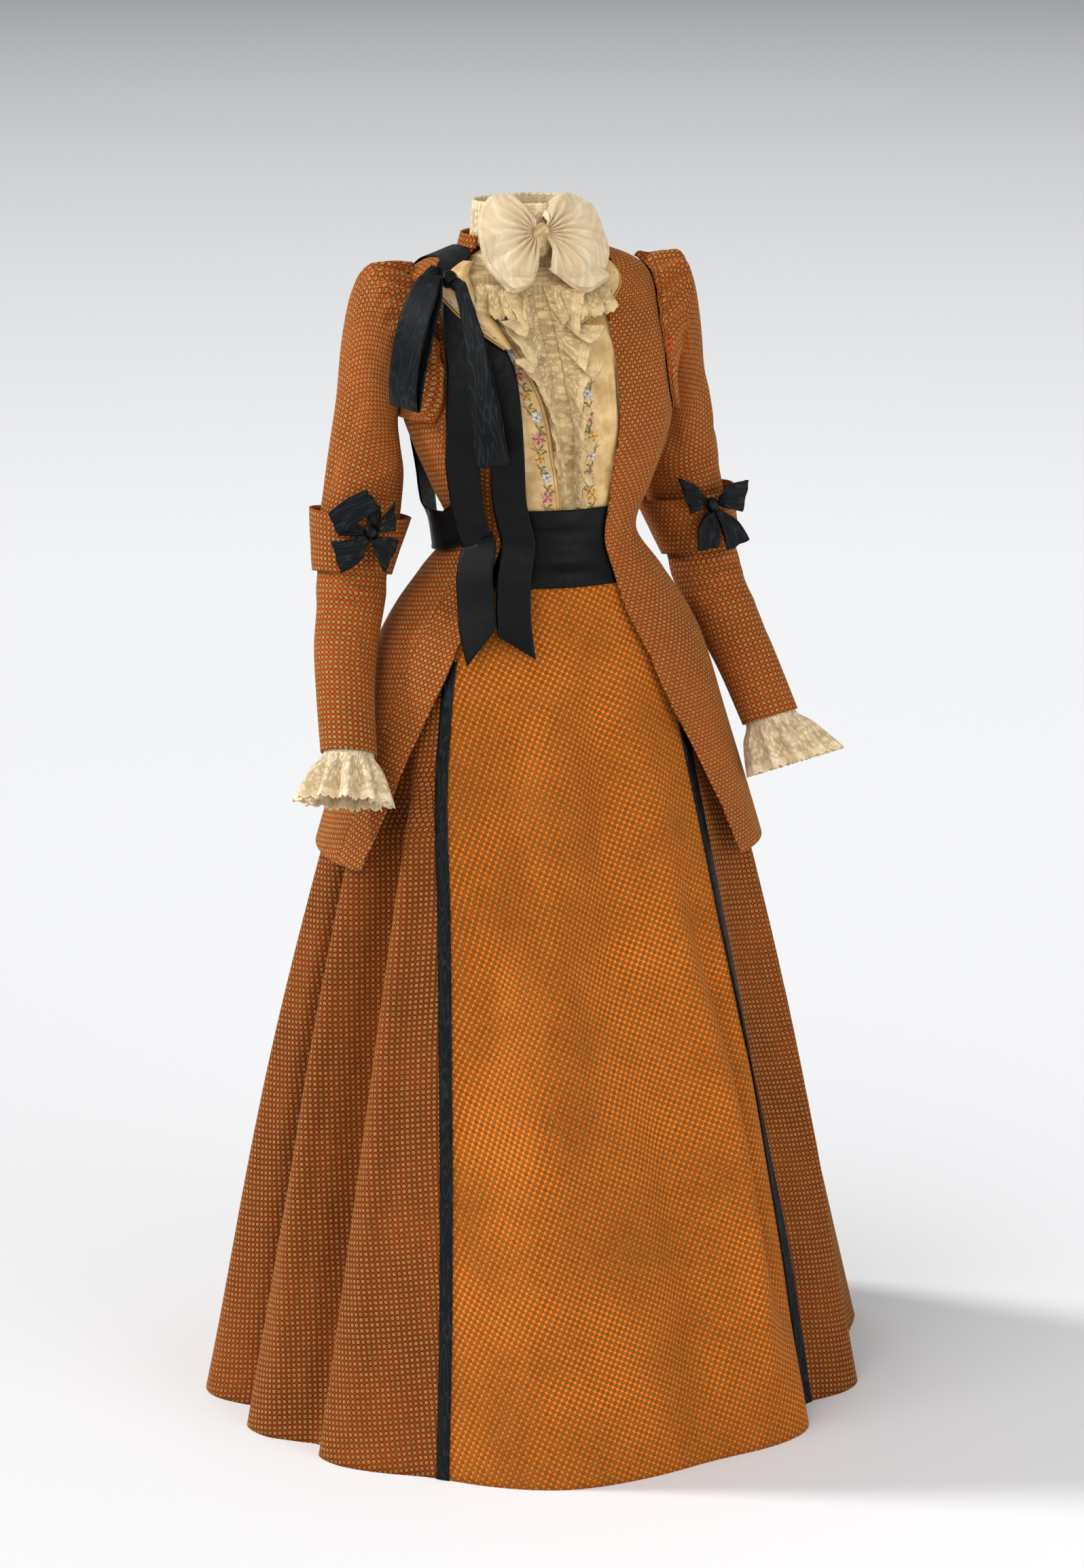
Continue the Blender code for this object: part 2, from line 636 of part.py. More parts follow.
def jabot_fall(side):
    # Lace gathered along a line down the front, its free edge swinging to and fro in folds
    route = JABOT[side]
    heights = np.linspace(route["height"][0], route["height"][-1], JABOT_FOLDS * 4 + 1)
    middle, reach = (along(route["height"], route[name], heights) for name in ("middle", "reach"))
    root = form(heights, middle + side * 1.2) + outward(form(heights, middle), JABOT_ROOT)
    swing = 2 * math.pi * JABOT_FOLDS * np.linspace(0, 1, len(heights))
    columns = []
    for share in (0.0, 0.4, 0.72, 1.0):
        across = side * share * reach * (0.86 + 0.14 * np.cos(swing))
        lift = share * (JABOT_SWING / 2 + JABOT_SWING * (1 + np.sin(swing)))
        drop = -JABOT_SWING * share * (1 - np.cos(swing)) / 2
        column = root + np.stack([across, -lift, drop], axis=1)
        columns.append(resting(column, form, JABOT_ROOT + share * JABOT_CLEAR + 0.3 * lift))
    return facing_out(np.array(columns).transpose(1, 0, 2), side)


def make_neck_lace(lace):
    front = collar_row(
        np.array(NECK_KNOT_HEIGHT), np.array(NECK_KNOT_ANGLE), NECK, np.array(CHEMISETTE_DEPTH)
    )
    knot = front - np.array([0.0, NECK_KNOT_LIFT, 0.0])
    ellipsoid("neck_bow_knot", knot, NECK_KNOT, lace)
    for side, word in SIDES.items():
        hub = knot + np.array([side * 0.0035, -0.002, 0.0])
        rows = lace_fan(hub, (0, side * 0.55, side), (side, 0.10, -0.02))
        wall(f"neck_bow_{word}", rows, LACE, lace)
        wall(f"jabot_{word}", jabot_fall(side), LACE, lace)


def ellipsoid(name, centre, sizes, finish):
    made = bmesh.new()
    bmesh.ops.create_uvsphere(made, u_segments=10, v_segments=6, radius=1)
    bmesh.ops.scale(made, vec=sizes, verts=made.verts)
    bmesh.ops.translate(made, vec=centre, verts=made.verts)
    mesh = bpy.data.meshes.new(name)
    made.to_mesh(mesh)
    made.free()
    mesh.shade_smooth()
    mesh.materials.append(finish)
    piece = bpy.data.objects.new(name, mesh)
    bpy.context.scene.collection.objects.link(piece)
    return piece


# Ribbons: lengths laid over the jacket, and loops that stand out from a knot
SHOULDER_RIBBONS = {
    "streamer_outer": table(
        "height angle lift width slant",
        (0.266, -45.5, 0.0062, 0.026, 0.0),
        (0.240, -44.5, 0.0083, 0.035, 0.0),
        (0.190, -45.0, 0.0083, 0.037, 0.0),
        (0.130, -49.0, 0.0083, 0.040, 0.0),
        (0.070, -53.5, 0.0120, 0.042, 0.0),
        (0.020, -55.0, 0.0190, 0.042, 0.0),
        (-0.035, -50.0, 0.0180, 0.042, 0.0),
        (-0.080, -42.5, 0.0130, 0.042, 0.0),
        (-0.112, -37.5, 0.0100, 0.042, 1.0),
    ),
    "streamer_inner": table(
        "height angle lift width slant",
        (0.262, -36.0, 0.0044, 0.028, 0.0),
        (0.225, -32.5, 0.0044, 0.036, 0.0),
        (0.170, -30.5, 0.0050, 0.038, 0.0),
        (0.100, -32.0, 0.0055, 0.038, 0.0),
        (0.040, -34.0, 0.0090, 0.038, 0.0),
        (-0.020, -32.5, 0.0100, 0.038, 0.0),
        (-0.070, -28.5, 0.0080, 0.038, 0.0),
        (-0.112, -25.0, 0.0070, 0.038, -1.0),
    ),
    "over_shoulder": table(
        "height angle lift width slant",
        (0.284, -52.0, 0.0050, 0.030, 0.0),
        (0.298, -66.0, 0.0030, 0.034, 0.0),
        (0.301, -88.0, 0.0030, 0.030, 0.0),
        (0.297, -112.0, 0.0030, 0.030, 0.0),
        (0.280, -132.0, 0.0030, 0.036, 0.0),
        (0.252, -139.0, 0.0030, 0.038, 0.0),
    ),
    "back_loop": table(
        "height angle lift width slant",
        (0.243, -140.5, 0.0030, 0.038, 0.0),
        (0.190, -139.0, 0.0030, 0.040, 0.0),
        (0.130, -134.0, 0.0050, 0.040, 0.0),
        (0.070, -127.0, 0.0100, 0.042, 0.0),
        (0.025, -116.0, 0.0190, 0.044, 0.0),
        (0.004, -100.0, 0.0220, 0.046, 0.0),
        (0.006, -84.0, 0.0150, 0.044, 0.0),
        (0.018, -72.0, 0.0070, 0.040, 0.0),
        (0.026, -62.0, 0.0045, 0.036, 0.0),
    ),
}
SHORT_LOOPS = {
    "short_loop_outer": table(
        "height angle lift width",
        (0.274, -55.0, 0.0250, 0.020),
        (0.256, -55.0, 0.0340, 0.032),
        (0.222, -58.0, 0.0400, 0.038),
        (0.185, -63.0, 0.0380, 0.040),
        (0.148, -68.0, 0.0340, 0.042),
    ),
    "short_loop_inner": table(
        "height angle lift width",
        (0.264, -40.0, 0.0240, 0.020),
        (0.240, -37.0, 0.0250, 0.028),
        (0.200, -36.0, 0.0250, 0.034),
        (0.150, -37.0, 0.0250, 0.038),
        (0.098, -37.5, 0.0260, 0.040),
    ),
}
KNOT_PLACE = (0.281, -46.0)  # height and angle of the shoulder knot
KNOT_LIFT = 0.0181  # height of the shoulder knot's middle over the jacket
KNOT_SIZES = np.array([0.010, 0.009, 0.010])
KNOT_GAP = 0.0009  # gap between a knot and the loops that it ties
ACROSS_RIBBON = (-1, -0.33, 0.33, 1)  # points across a ribbon, in half widths
LOOP_PUFF = 0.007  # how far a short loop's two layers stand from their middle
LOOP_LEAST = 0.0012
SLANT_REACH = 0.4  # how far a slanted end is sheared, in ribbon widths


def off_knot(knot, sizes, towards):
    # The point just outside a knot on the way to another point
    way = towards - knot
    way /= np.linalg.norm(way)
    return knot + way * (1 / np.linalg.norm(way / sizes) + KNOT_GAP)


def strip(route, width, normals, slant):
    # Rows across a ribbon whose middle follows a route over a surface with known normals
    ways = np.gradient(route, axis=0)
    across = np.cross(ways, normals)
    across /= np.linalg.norm(across, axis=1, keepdims=True)
    ways /= np.linalg.norm(ways, axis=1, keepdims=True)
    reach = slant * width * SLANT_REACH
    rows = [route + (across * width[:, None] / 2 + ways * reach[:, None]) * share for share in ACROSS_RIBBON]
    return np.array(rows).transpose(1, 0, 2)


def smooth_route(shape, rows, steps):
    stations = np.arange(len(rows["height"]), dtype=float)
    fine = np.linspace(0, stations[-1], steps)
    value = {name: along(stations, column, fine) for name, column in rows.items()}
    point = shape(value["height"], value["angle"])
    normal = normal_to(shape, value["height"], value["angle"])
    return point + normal * value["lift"][:, None], normal, value


def make_shoulder_ribbons(satin):
    for name, rows in SHOULDER_RIBBONS.items():
        route, normal, value = smooth_route(jacket, rows, len(rows["height"]) * 2 - 1)
        points = strip(route, value["width"], normal, value["slant"])[:, ::-1]
        clearance = value["lift"].clip(0.0028, 0.009)[:, None]
        wall(name, resting(points, jacket, clearance), SILK, satin)
    middle = jacket(*KNOT_PLACE)
    knot = middle + outward(middle, KNOT_LIFT)
    ellipsoid("shoulder_knot", knot, KNOT_SIZES, satin)
    for name, rows in SHORT_LOOPS.items():
        route, normal, value = smooth_route(jacket, rows, len(rows["height"]) * 2 - 1)
        route[0] = off_knot(knot, KNOT_SIZES, route[1])
        puff = np.sin(np.linspace(0, 1, len(route)) * math.pi * 0.92) * LOOP_PUFF + LOOP_LEAST
        under = route - normal * puff[:, None]
        over = route + normal * puff[:, None]
        turn = route[-1] + (route[-1] - route[-2]) * 0.22
        folded = np.concatenate([over, turn[None], under[::-1]])
        widths = np.concatenate([value["width"], value["width"][-1:], value["width"][::-1]])
        side = np.cross(np.gradient(route, axis=0), normal)
        side /= np.linalg.norm(side, axis=1, keepdims=True)
        side = np.concatenate([side, side[-1:], side[::-1]])
        points = [folded + side * (share * widths / 2)[:, None] for share in ACROSS_RIBBON]
        wall(name, np.array(points).transpose(1, 0, 2)[:, ::-1], SILK, satin)


ELBOW_KNOT = np.array([0.0075, 0.0068, 0.0085])
BOW_ROW = {LEFT: 5.5, RIGHT: 5.6}  # each bow's place down the arm, in rows of the sleeve's table
BOW_EASE = 0.0112  # how far the cuff stands outside the sleeve there
BOW_LIFT = {LEFT: 0.0079, RIGHT: 0.0068}  # distance of each bow's knot from the cuff
BOW_FACES = {LEFT: (-0.10, -0.98, 0.12), RIGHT: (-0.30, -0.95, 0.12)}
# Each loop's way from its knot out to a fold and back, in millimetres to the right, up and forward,
# with the ribbon's width and the angle in degrees at which its width lies
BOWS = {
    RIGHT: (
        table(
            "right up front width lies",
            (2, 9, 2, 9, -10),
            (4, 24, 3, 20, -40),
            (4, 37, 7, 24, -55),
            (-20, 25, 12, 29, -63),
            (-41, 11, 9, 28, -71),
            (-38, 10, 4, 25, -71),
            (-18, 5, 2, 17, -76),
            (-9, 2, 1, 8, -80),
        ),
        table(
            "right up front width lies",
            (-5, -6, 5, 9, -60),
            (-18, -20, 9, 25, -80),
            (-40, -25, 6, 37, -78),
            (-38, -25, 1, 36, -78),
            (-17, -18, 0, 22, -80),
            (-6, -7, 0, 9, -60),
        ),
        table(
            "right up front width lies",
            (9, 5, 4, 8, 85),
            (15, 10, 8, 20, 85),
            (27, 16, 5, 31, 88),
            (25, 15, -1, 29, 88),
            (15, 8, -2, 17, 85),
            (9, 4, -1, 8, 85),
        ),
        table(
            "right up front width lies",
            (4, -8, 4, 9, -150),
            (11, -15, 9, 24, -130),
            (21, -27, 5, 39, -118),
            (19, -26, -1, 37, -118),
            (10, -14, -2, 20, -130),
            (4, -8, -1, 9, -150),
        ),
    ),
    LEFT: (
        table(
            "right up front width lies",
            (-8, 4, 4, 9, -85),
            (-18, 10, 9, 28, -75),
            (-33, 12, 7, 43, -72),
            (-31, 11, 0, 41, -72),
            (-17, 7, -1, 24, -75),
            (-8, 3, -1, 9, -85),
        ),
        table(
            "right up front width lies",
            (-3, -9, 5, 8, 0),
            (-8, -27, 11, 25, 4),
            (-8, -49, 7, 25, 8),
            (-8, -47, 1, 24, 8),
            (-8, -26, 0, 20, 4),
            (-3, -9, -1, 8, 0),
        ),
        table(
            "right up front width lies",
            (8, 4, 4, 9, -90),
            (17, 9, 9, 26, -95),
            (37, 8, 7, 36, -105),
            (35, 8, 0, 34, -105),
            (17, 6, -1, 22, -95),
            (8, 3, -1, 9, -90),
        ),
        table(
            "right up front width lies",
            (6, -8, 4, 7, 30),
            (18, -24, 8, 20, 26),
            (28, -47, 5, 28, 22),
            (27, -45, 0, 26, 22),
            (17, -23, -2, 17, 26),
            (6, -8, -1, 7, 30),
        ),
    ),
}
MILLIMETRE = 0.001


def ribbon_loop(name, hub, frame, rows, finish):
    # A ribbon that leaves the knot, turns over at its far end and comes back behind itself
    stations = np.arange(len(rows["up"]), dtype=float)
    at = np.linspace(0, stations[-1], len(stations) * 2 - 1)
    right, up, front, width = (
        along(stations, rows[column], at) * MILLIMETRE for column in ("right", "up", "front", "width")
    )
    lies = np.radians(along(stations, rows["lies"], at))
    middle = hub + np.stack([right, up, front], axis=1) @ frame
    for end in (0, -1):
        middle[end] = off_knot(hub, ELBOW_KNOT, middle[end])
    side = np.stack([np.cos(lies), np.sin(lies), 0 * lies], axis=1) @ frame
    points = [middle + side * (share * width / 2)[:, None] for share in ACROSS_RIBBON]
    wall(name, np.array(points).transpose(1, 0, 2), SILK, finish)


def make_elbow_bows(ribbon):
    for side, word in SIDES.items():
        front = np.array(BOW_FACES[side])
        front /= np.linalg.norm(front)
        up = np.cross(front, (1.0, 0.0, 0.0))
        up /= np.linalg.norm(up)
        frame = np.stack([np.cross(up, front), up, front])
        hub = sleeve_ring(side, BOW_ROW[side], 72, BOW_EASE)[19] + front * BOW_LIFT[side]
        ellipsoid(f"elbow_knot_{word}", hub, ELBOW_KNOT, ribbon)
        for k, rows in enumerate(BOWS[side]):
            ribbon_loop(f"elbow_loop_{word}_{k + 1}", hub, frame, rows, ribbon)


def clear_scene():
    for piece in list(bpy.data.objects):
        bpy.data.objects.remove(piece)


def main():
    clear_scene()
    velvet = material("dotted_velvet", (0.48, 0.19, 0.06), 0.8)
    ribbon = material("black_moire_ribbon", (0.012, 0.012, 0.014), 0.45)
    satin = material("black_satin", (0.015, 0.013, 0.015), 0.3)
    silk = material("cream_satin", (0.70, 0.52, 0.30), 0.4)
    lace = material("cream_lace", (0.78, 0.66, 0.46), 0.85)
    make_skirt(velvet, ribbon)
    make_jacket(velvet)
    make_sleeves(velvet, lace)
    make_vest(silk, lace)
    make_sash(satin)
    make_neck_lace(lace)
    make_shoulder_ribbons(satin)
    make_elbow_bows(ribbon)


main()
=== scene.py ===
import json
import math

import bmesh
import bpy
import numpy as np
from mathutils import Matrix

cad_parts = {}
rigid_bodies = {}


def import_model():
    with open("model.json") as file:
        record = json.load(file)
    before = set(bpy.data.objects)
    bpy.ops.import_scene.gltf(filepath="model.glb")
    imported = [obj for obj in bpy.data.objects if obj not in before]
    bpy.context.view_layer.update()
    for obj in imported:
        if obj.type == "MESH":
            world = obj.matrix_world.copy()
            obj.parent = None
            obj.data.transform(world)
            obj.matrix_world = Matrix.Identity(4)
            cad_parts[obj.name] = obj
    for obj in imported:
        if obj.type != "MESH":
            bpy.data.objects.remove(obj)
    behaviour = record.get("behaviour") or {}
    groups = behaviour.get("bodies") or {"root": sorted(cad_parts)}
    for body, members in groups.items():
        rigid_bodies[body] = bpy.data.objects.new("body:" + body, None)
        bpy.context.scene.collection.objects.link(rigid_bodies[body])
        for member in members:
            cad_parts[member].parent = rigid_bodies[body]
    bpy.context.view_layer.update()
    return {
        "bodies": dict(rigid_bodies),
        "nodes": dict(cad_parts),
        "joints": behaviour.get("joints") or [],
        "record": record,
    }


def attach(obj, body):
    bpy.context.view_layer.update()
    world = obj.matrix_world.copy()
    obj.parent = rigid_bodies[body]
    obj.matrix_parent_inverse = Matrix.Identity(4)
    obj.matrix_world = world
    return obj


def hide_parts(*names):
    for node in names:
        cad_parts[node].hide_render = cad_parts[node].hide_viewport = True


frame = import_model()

left, right = 1, -1
sideNames = {left: "left", right: "right"}
walls = {"velvet": 0.0020, "silk": 0.0013, "lace": 0.0009}
hem = -1.0
underarm = 0.130
neckEdge = 0.3085
leastFill = 0.301  # least share of its flat width x height that a sheet's area is said to be
print("frame loaded")


def table(columns, *rows):
    # Named columns of a short table
    return dict(zip(columns.split(), np.array(rows, float).T))


def along(stations, values, at):
    # Cubic through a table's column, with slopes that never overshoot: Hermite blend of the two
    # neighbouring rows, each with the harmonic mean of the slopes on its two sides
    values = np.asarray(values, float)
    stations = np.asarray(stations, float)
    extra = (1,) * (values.ndim - 1)
    step = np.diff(stations).reshape((-1, *extra))
    slope = np.diff(values, axis=0) / step
    turning = slope[:-1] * slope[1:] <= 0
    total = np.where(turning, 1.0, slope[:-1] + slope[1:])
    inner = np.where(turning, 0.0, 2 * slope[:-1] * slope[1:] / total)
    tangent = np.concatenate([slope[:1], inner, slope[-1:]])
    at = np.clip(at, stations[0], stations[-1])
    k = np.clip(np.searchsorted(stations, at, side="right") - 1, 0, len(step) - 1)
    gap = (stations[k + 1] - stations[k]).reshape(np.shape(k) + extra)
    t = (np.asarray(at - stations[k])).reshape(np.shape(k) + extra) / gap
    start = values[k] * (1 + 2 * t) * (1 - t) ** 2 + gap * tangent[k] * t * (1 - t) ** 2
    end = values[k + 1] * t**2 * (3 - 2 * t) + gap * tangent[k + 1] * t**2 * (t - 1)
    return start + end


def readOff(rows, at, *names):
    # Columns of a table at places along its first column
    found = [along(next(iter(rows.values())), rows[name], at) for name in names]
    return found if len(found) > 1 else found[0]


def byRow(rows, at):
    # Every column of a table at row numbers, whole or not
    stations = np.arange(len(next(iter(rows.values()))), dtype=float)
    return {name: along(stations, column, at) for name, column in rows.items()}


def smooth(low, high, value):
    # Soft step: 0 below low, 1 above high
    t = np.clip((value - low) / (high - low), 0, 1)
    return t * t * (3 - 2 * t)


def unit(vectors):
    # Vectors brought to length 1
    return vectors / np.linalg.norm(vectors, axis=-1, keepdims=True)


bodyForm = table(
    "height half front back centre",
    (-1, 0.372, 0.345, 0.385, 0), (-0.89, 0.35, 0.318, 0.362, 0), (-0.73, 0.318, 0.28, 0.328, 0),
    (-0.57, 0.284, 0.24, 0.29, 0), (-0.375, 0.238, 0.19, 0.242, 0), (-0.22, 0.197, 0.15, 0.2, 0),
    (-0.13, 0.172, 0.127, 0.169, 0), (-0.09, 0.153, 0.115, 0.148, 0), (-0.05, 0.128, 0.102, 0.119, 0),
    (0, 0.098, 0.089, 0.082, 0), (0.05, 0.118, 0.1, 0.09, 0.003), (0.1, 0.138, 0.12, 0.1, 0.01),
    (0.13, 0.146, 0.129, 0.104, 0.018), (0.18, 0.15, 0.127, 0.1, 0.033), (0.225, 0.148, 0.111, 0.09, 0.045),
    (0.256, 0.143, 0.094, 0.079, 0.05), (0.278, 0.132, 0.08, 0.068, 0.052),
    (0.29, 0.114, 0.07, 0.061, 0.051), (0.3, 0.088, 0.061, 0.055, 0.049),
    (0.309, 0.066, 0.055, 0.052, 0.047), (0.32, 0.057, 0.052, 0.05, 0.046),
)
jacketEase = table(
    "height ease",
    (-0.36, 0.02), (-0.2, 0.0145), (-0.1, 0.011), (-0.05, 0.0082), (0, 0.0066), (0.35, 0.0066),
)
skirtFolds = table(
    "angle width height",
    (-16, 12, 0.014), (13, 11, -0.012), (-40, 8, -0.01), (-57, 6, 0.002), (-69, 6, -0.022), (-82, 5, 0.004),
    (-91, 5, -0.03), (-103, 8, 0.016), (-121, 8, -0.026), (-139, 8, 0.024), (-157, 8, -0.024),
    (-176, 8, 0.026), (47, 8, -0.045), (77, 8, -0.045), (101, 11, 0.06), (124, 8, -0.028), (143, 8, 0.026),
    (163, 8, -0.026),
)
foldTop = -0.170


def form(height, angle):
    # Ellipse at each height: x = half width x sin(angle), y = centre - depth x cos(angle)
    height, angle = np.broadcast_arrays(np.asarray(height, float), np.radians(angle))
    half, front, back, centre = readOff(bodyForm, height, "half", "front", "back", "centre")
    depth = np.where(np.cos(angle) > 0, front, back)
    return np.stack([half * np.sin(angle), centre - depth * np.cos(angle), height], axis=-1)


def outward(point, distance):
    # Level direction away from the form's axis, times a distance
    centre = readOff(bodyForm, point[..., 2], "centre")
    level = np.stack([point[..., 0], point[..., 1] - centre, np.zeros_like(centre)], axis=-1)
    return unit(level) * np.asarray(distance)[..., None]


def skirt(height, angle):
    # The form plus standing folds: each a bell over the angle, growing from the hips down to the hem
    point = form(height, angle)
    height, angle = np.broadcast_arrays(np.asarray(height, float), np.asarray(angle, float))
    grown = np.clip((foldTop - height) / (foldTop - hem), 0, 1)
    away = (angle[..., None] - skirtFolds["angle"] + 180) % 360 - 180
    lift = (skirtFolds["height"] * np.exp(-((away / skirtFolds["width"]) ** 2))).sum(axis=-1)
    return point + outward(point, lift * grown)


def jacket(height, angle):
    # The form moved out level by the ease at that height
    point = form(height, angle)
    return point + outward(point, readOff(jacketEase, point[..., 2], "ease"))


def squareTo(shape, height, angle):
    # Cross product of the shape's steps along the angle and up the height
    small, degree = 1e-4, 0.05
    up = shape(np.add(height, small), angle) - shape(np.subtract(height, small), angle)
    across = shape(height, np.add(angle, degree)) - shape(height, np.subtract(angle, degree))
    return unit(np.cross(across, up))


def moved(shape, distance):
    # A shape moved along its own normal
    return lambda height, angle: shape(height, angle) + squareTo(shape, height, angle) * distance


def gridNormals(points, closed=False):
    # Normals of a grid of points from its own differences
    if closed:
        points = np.concatenate([points[:, -1:], points, points[:, :1]], axis=1)
    across, up = np.gradient(points, axis=1), np.gradient(points, axis=0)
    normals = unit(np.cross(across, up) + 1e-12)
    return normals[:, 1:-1] if closed else normals


def resting(points, shape, clearance):
    # Points pushed out level where they come closer to a shape than a clearance, eased by its slope
    points = np.array(points, float)
    height = points[..., 2]
    half, front, back, centre = readOff(bodyForm, height, "half", "front", "back", "centre")
    ahead = centre - points[..., 1]
    angle = np.degrees(np.arctan2(points[..., 0] / half, ahead / np.where(ahead > 0, front, back)))
    small, steepest, farthest = 1e-3, 2.5, 0.05
    found = (shape(height, angle), shape(height + small, angle))
    level, above = (np.hypot(p[..., 0], p[..., 1] - centre) for p in found)
    need = level + clearance * np.clip(np.hypot((above - level) / small, 1), 1, steepest)
    return points + outward(points, np.clip(need - np.hypot(points[..., 0], ahead), 0, farthest))


def creased(points, shape, marks, closed=False):
    # Ridges and troughs, given one by one. A mark is three places on the shape, each a height and an
    # angle, then width and depth in millimetres, and the share of its length in which it fades. The
    # cloth lifts along its normal by depth x bell(distance / width) from the curve through the three
    normals = gridNormals(points, closed)
    lift = np.zeros(points.shape[:2])
    steps = 47
    share = np.linspace(0, 1, steps + 1)[:, None]
    for mark in marks:
        a, b, c = (shape(*np.array(mark[k : k + 2], float)) for k in (0, 2, 4))
        width, depth, fade = mark[6] / 1000, mark[7] / 1000, mark[8]
        curve = (1 - share) ** 2 * a + 2 * share * (1 - share) * (2 * b - (a + c) / 2) + share**2 * c
        way = np.gradient(curve, axis=0)
        reach = np.linalg.norm(curve[-1] - curve[0]) / 2 + 4 * width + 0.05
        near = np.linalg.norm(points - curve[(steps + 1) // 2], axis=-1) < reach
        at = np.linalg.norm(points[near][:, None] - curve[None], axis=-1).argmin(axis=1)
        offset = points[near] - curve[at]
        past = np.sum(offset * way[at], axis=1) / np.sum(way[at] ** 2, axis=1)
        away = np.linalg.norm(offset - past[:, None] * way[at], axis=1)
        place = share[at, 0] + past / steps
        ends = smooth(0, fade, place) * smooth(0, fade, 1 - place)
        lift[near] += depth * np.exp(-((away / width) ** 2)) * ends
    return points + normals * lift[..., None]


def spanned(shape, heights, start, end, count):
    # Rows of points between two edge angles: a straight blend of the edges
    start, end = (np.broadcast_to(edge, heights.shape)[:, None] for edge in (start, end))
    return shape(heights[:, None], start + (end - start) * np.linspace(0, 1, count))


def joined(points, closed):
    # A closed grid with its first column again at its end
    return np.concatenate([points, points[:, :1]], axis=1) if closed else points


def runAlong(points, axis=0):
    # Distance run along a grid's columns or rows, from their start
    steps = np.linalg.norm(np.diff(points, axis=axis), axis=-1)
    return np.insert(np.cumsum(steps, axis=axis), 0, 0, axis=axis)


def grain(points, closed=False, turn=0.0):
    # Flat cloth coordinates in metres: length along each row from its middle, and up the middle column
    points = joined(points, closed)
    middle = points.shape[1] // 2
    u = runAlong(points, 1)
    u = u - u[:, middle, None]
    v = runAlong(points[:, middle])[:, None]
    c, s = math.cos(math.radians(turn)), math.sin(math.radians(turn))
    return np.stack([u * c - v * s, u * s + v * c], axis=-1)


def quadMesh(name, points, quads, flat):
    # A smooth mesh of quads, with the flat cloth coordinates of every quad's corners
    mesh = bpy.data.meshes.new(name)
    mesh.from_pydata(points.reshape(-1, 3).tolist(), [], quads.reshape(-1, 4).tolist())
    mesh.uv_layers.new(name="cloth").data.foreach_set("uv", flat.astype(np.float32).ravel())
    mesh.shade_smooth()
    return mesh


def gridMesh(name, points, flat, closed=False):
    # Quads between neighbouring points of a grid; a closed grid joins its last column to its first
    rows, columns = points.shape[:2]
    i, j = np.meshgrid(np.arange(rows - 1), np.arange(columns if closed else columns - 1), indexing="ij")
    k = (j + 1) % columns
    quads = np.stack([i * columns + j, i * columns + k, (i + 1) * columns + k, (i + 1) * columns + j], -1)
    corners = flat[np.stack([i, i, i + 1, i + 1], -1), np.stack([j, j + 1, j + 1, j], -1)]
    return quadMesh(name, points, quads, corners)


def flatSize(points, closed=False):
    # Widest row and longest column of a grid, and its area, in metres
    points = joined(points, closed)
    across, up = np.diff(points, axis=1), np.diff(points, axis=0)
    width = np.linalg.norm(across, axis=-1).sum(axis=1).max()
    length = np.linalg.norm(up, axis=-1).sum(axis=0).max()
    area = np.linalg.norm(np.cross(across[:-1], up[:, :-1]), axis=-1).sum()
    return (round(float(width), 3), round(float(length), 3)), float(area)


def placed(name, mesh, stuff, nodes, thick=0):
    # A piece of a stuff, which is a material, its slot and its wall; a sheet is also given a thickness
    piece = bpy.data.objects.new(name, mesh)
    bpy.context.scene.collection.objects.link(piece)
    mesh.materials.append(stuff[0])
    if thick:
        shell = piece.modifiers.new("wall", "SOLIDIFY")
        shell.thickness, shell.offset = thick, 0
    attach(piece, "root")
    if nodes:
        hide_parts(*nodes)
    return piece


def cloth(name, points, stuff, node, closed=False, turn=0.0, flat=None):
    # A thin shell over a grid of points, with the flat size and area of its cloth worked out
    points = np.asarray(points, float)
    if flat is None:
        flat = grain(points, closed, turn)
    mesh = gridMesh(name, points, flat, closed)
    piece = placed(name, mesh, stuff, [node] if node else [], stuff[2])
    size, area = flatSize(points, closed)
    area = min(max(area, leastFill * size[0] * size[1]), size[0] * size[1])


def facingOut(points, side):
    # Rows laid out towards the wearer's right, turned so that the faces still point out
    return points if side == left else points[:, ::-1]


def hexColour(code):
    # sRGB hex to the linear colour that shaders use
    values = [int(code[i : i + 2], 16) / 255 for i in (1, 3, 5)]
    return (*[v / 12.92 if v <= 0.04045 else ((v + 0.055) / 1.055) ** 2.4 for v in values], 1.0)


def addNode(tree, kind, inputs=None, **settings):
    # Adds a node, with its settings, and its inputs as values or as links from other sockets
    node = tree.nodes.new(kind)
    for name, value in settings.items():
        setattr(node, name, value)
    for name, value in (inputs or {}).items():
        if isinstance(value, bpy.types.NodeSocket):
            tree.links.new(value, node.inputs[name])
        else:
            node.inputs[name].default_value = value
    return node


def newMaterial(name, **sockets):
    # A Principled material with uniform values on its own sockets
    material = bpy.data.materials.new(name)
    material.use_nodes = True
    shader = material.node_tree.nodes["Principled BSDF"]
    for socket, value in sockets.items():
        shader.inputs[socket.replace("_", " ")].default_value = value
    return material, material.node_tree, shader


def clothPlace(tree):
    # The flat cloth coordinates
    return addNode(tree, "ShaderNodeUVMap", uv_map="cloth").outputs["UV"]


def noise(tree, place, scale, detail, roughness=0.5, out=0):
    # Cloudy noise at a place
    inputs = {"Vector": place, "Scale": scale, "Detail": detail, "Roughness": roughness}
    return addNode(tree, "ShaderNodeTexNoise", inputs).outputs[out]


def ranged(tree, value, fromMin, fromMax, toMin, toMax, kind="SMOOTHSTEP"):
    # A value carried from one range to another
    limits = {"From Min": fromMin, "From Max": fromMax, "To Min": toMin, "To Max": toMax}
    return addNode(tree, "ShaderNodeMapRange", {"Value": value, **limits}, interpolation_type=kind).outputs[0]


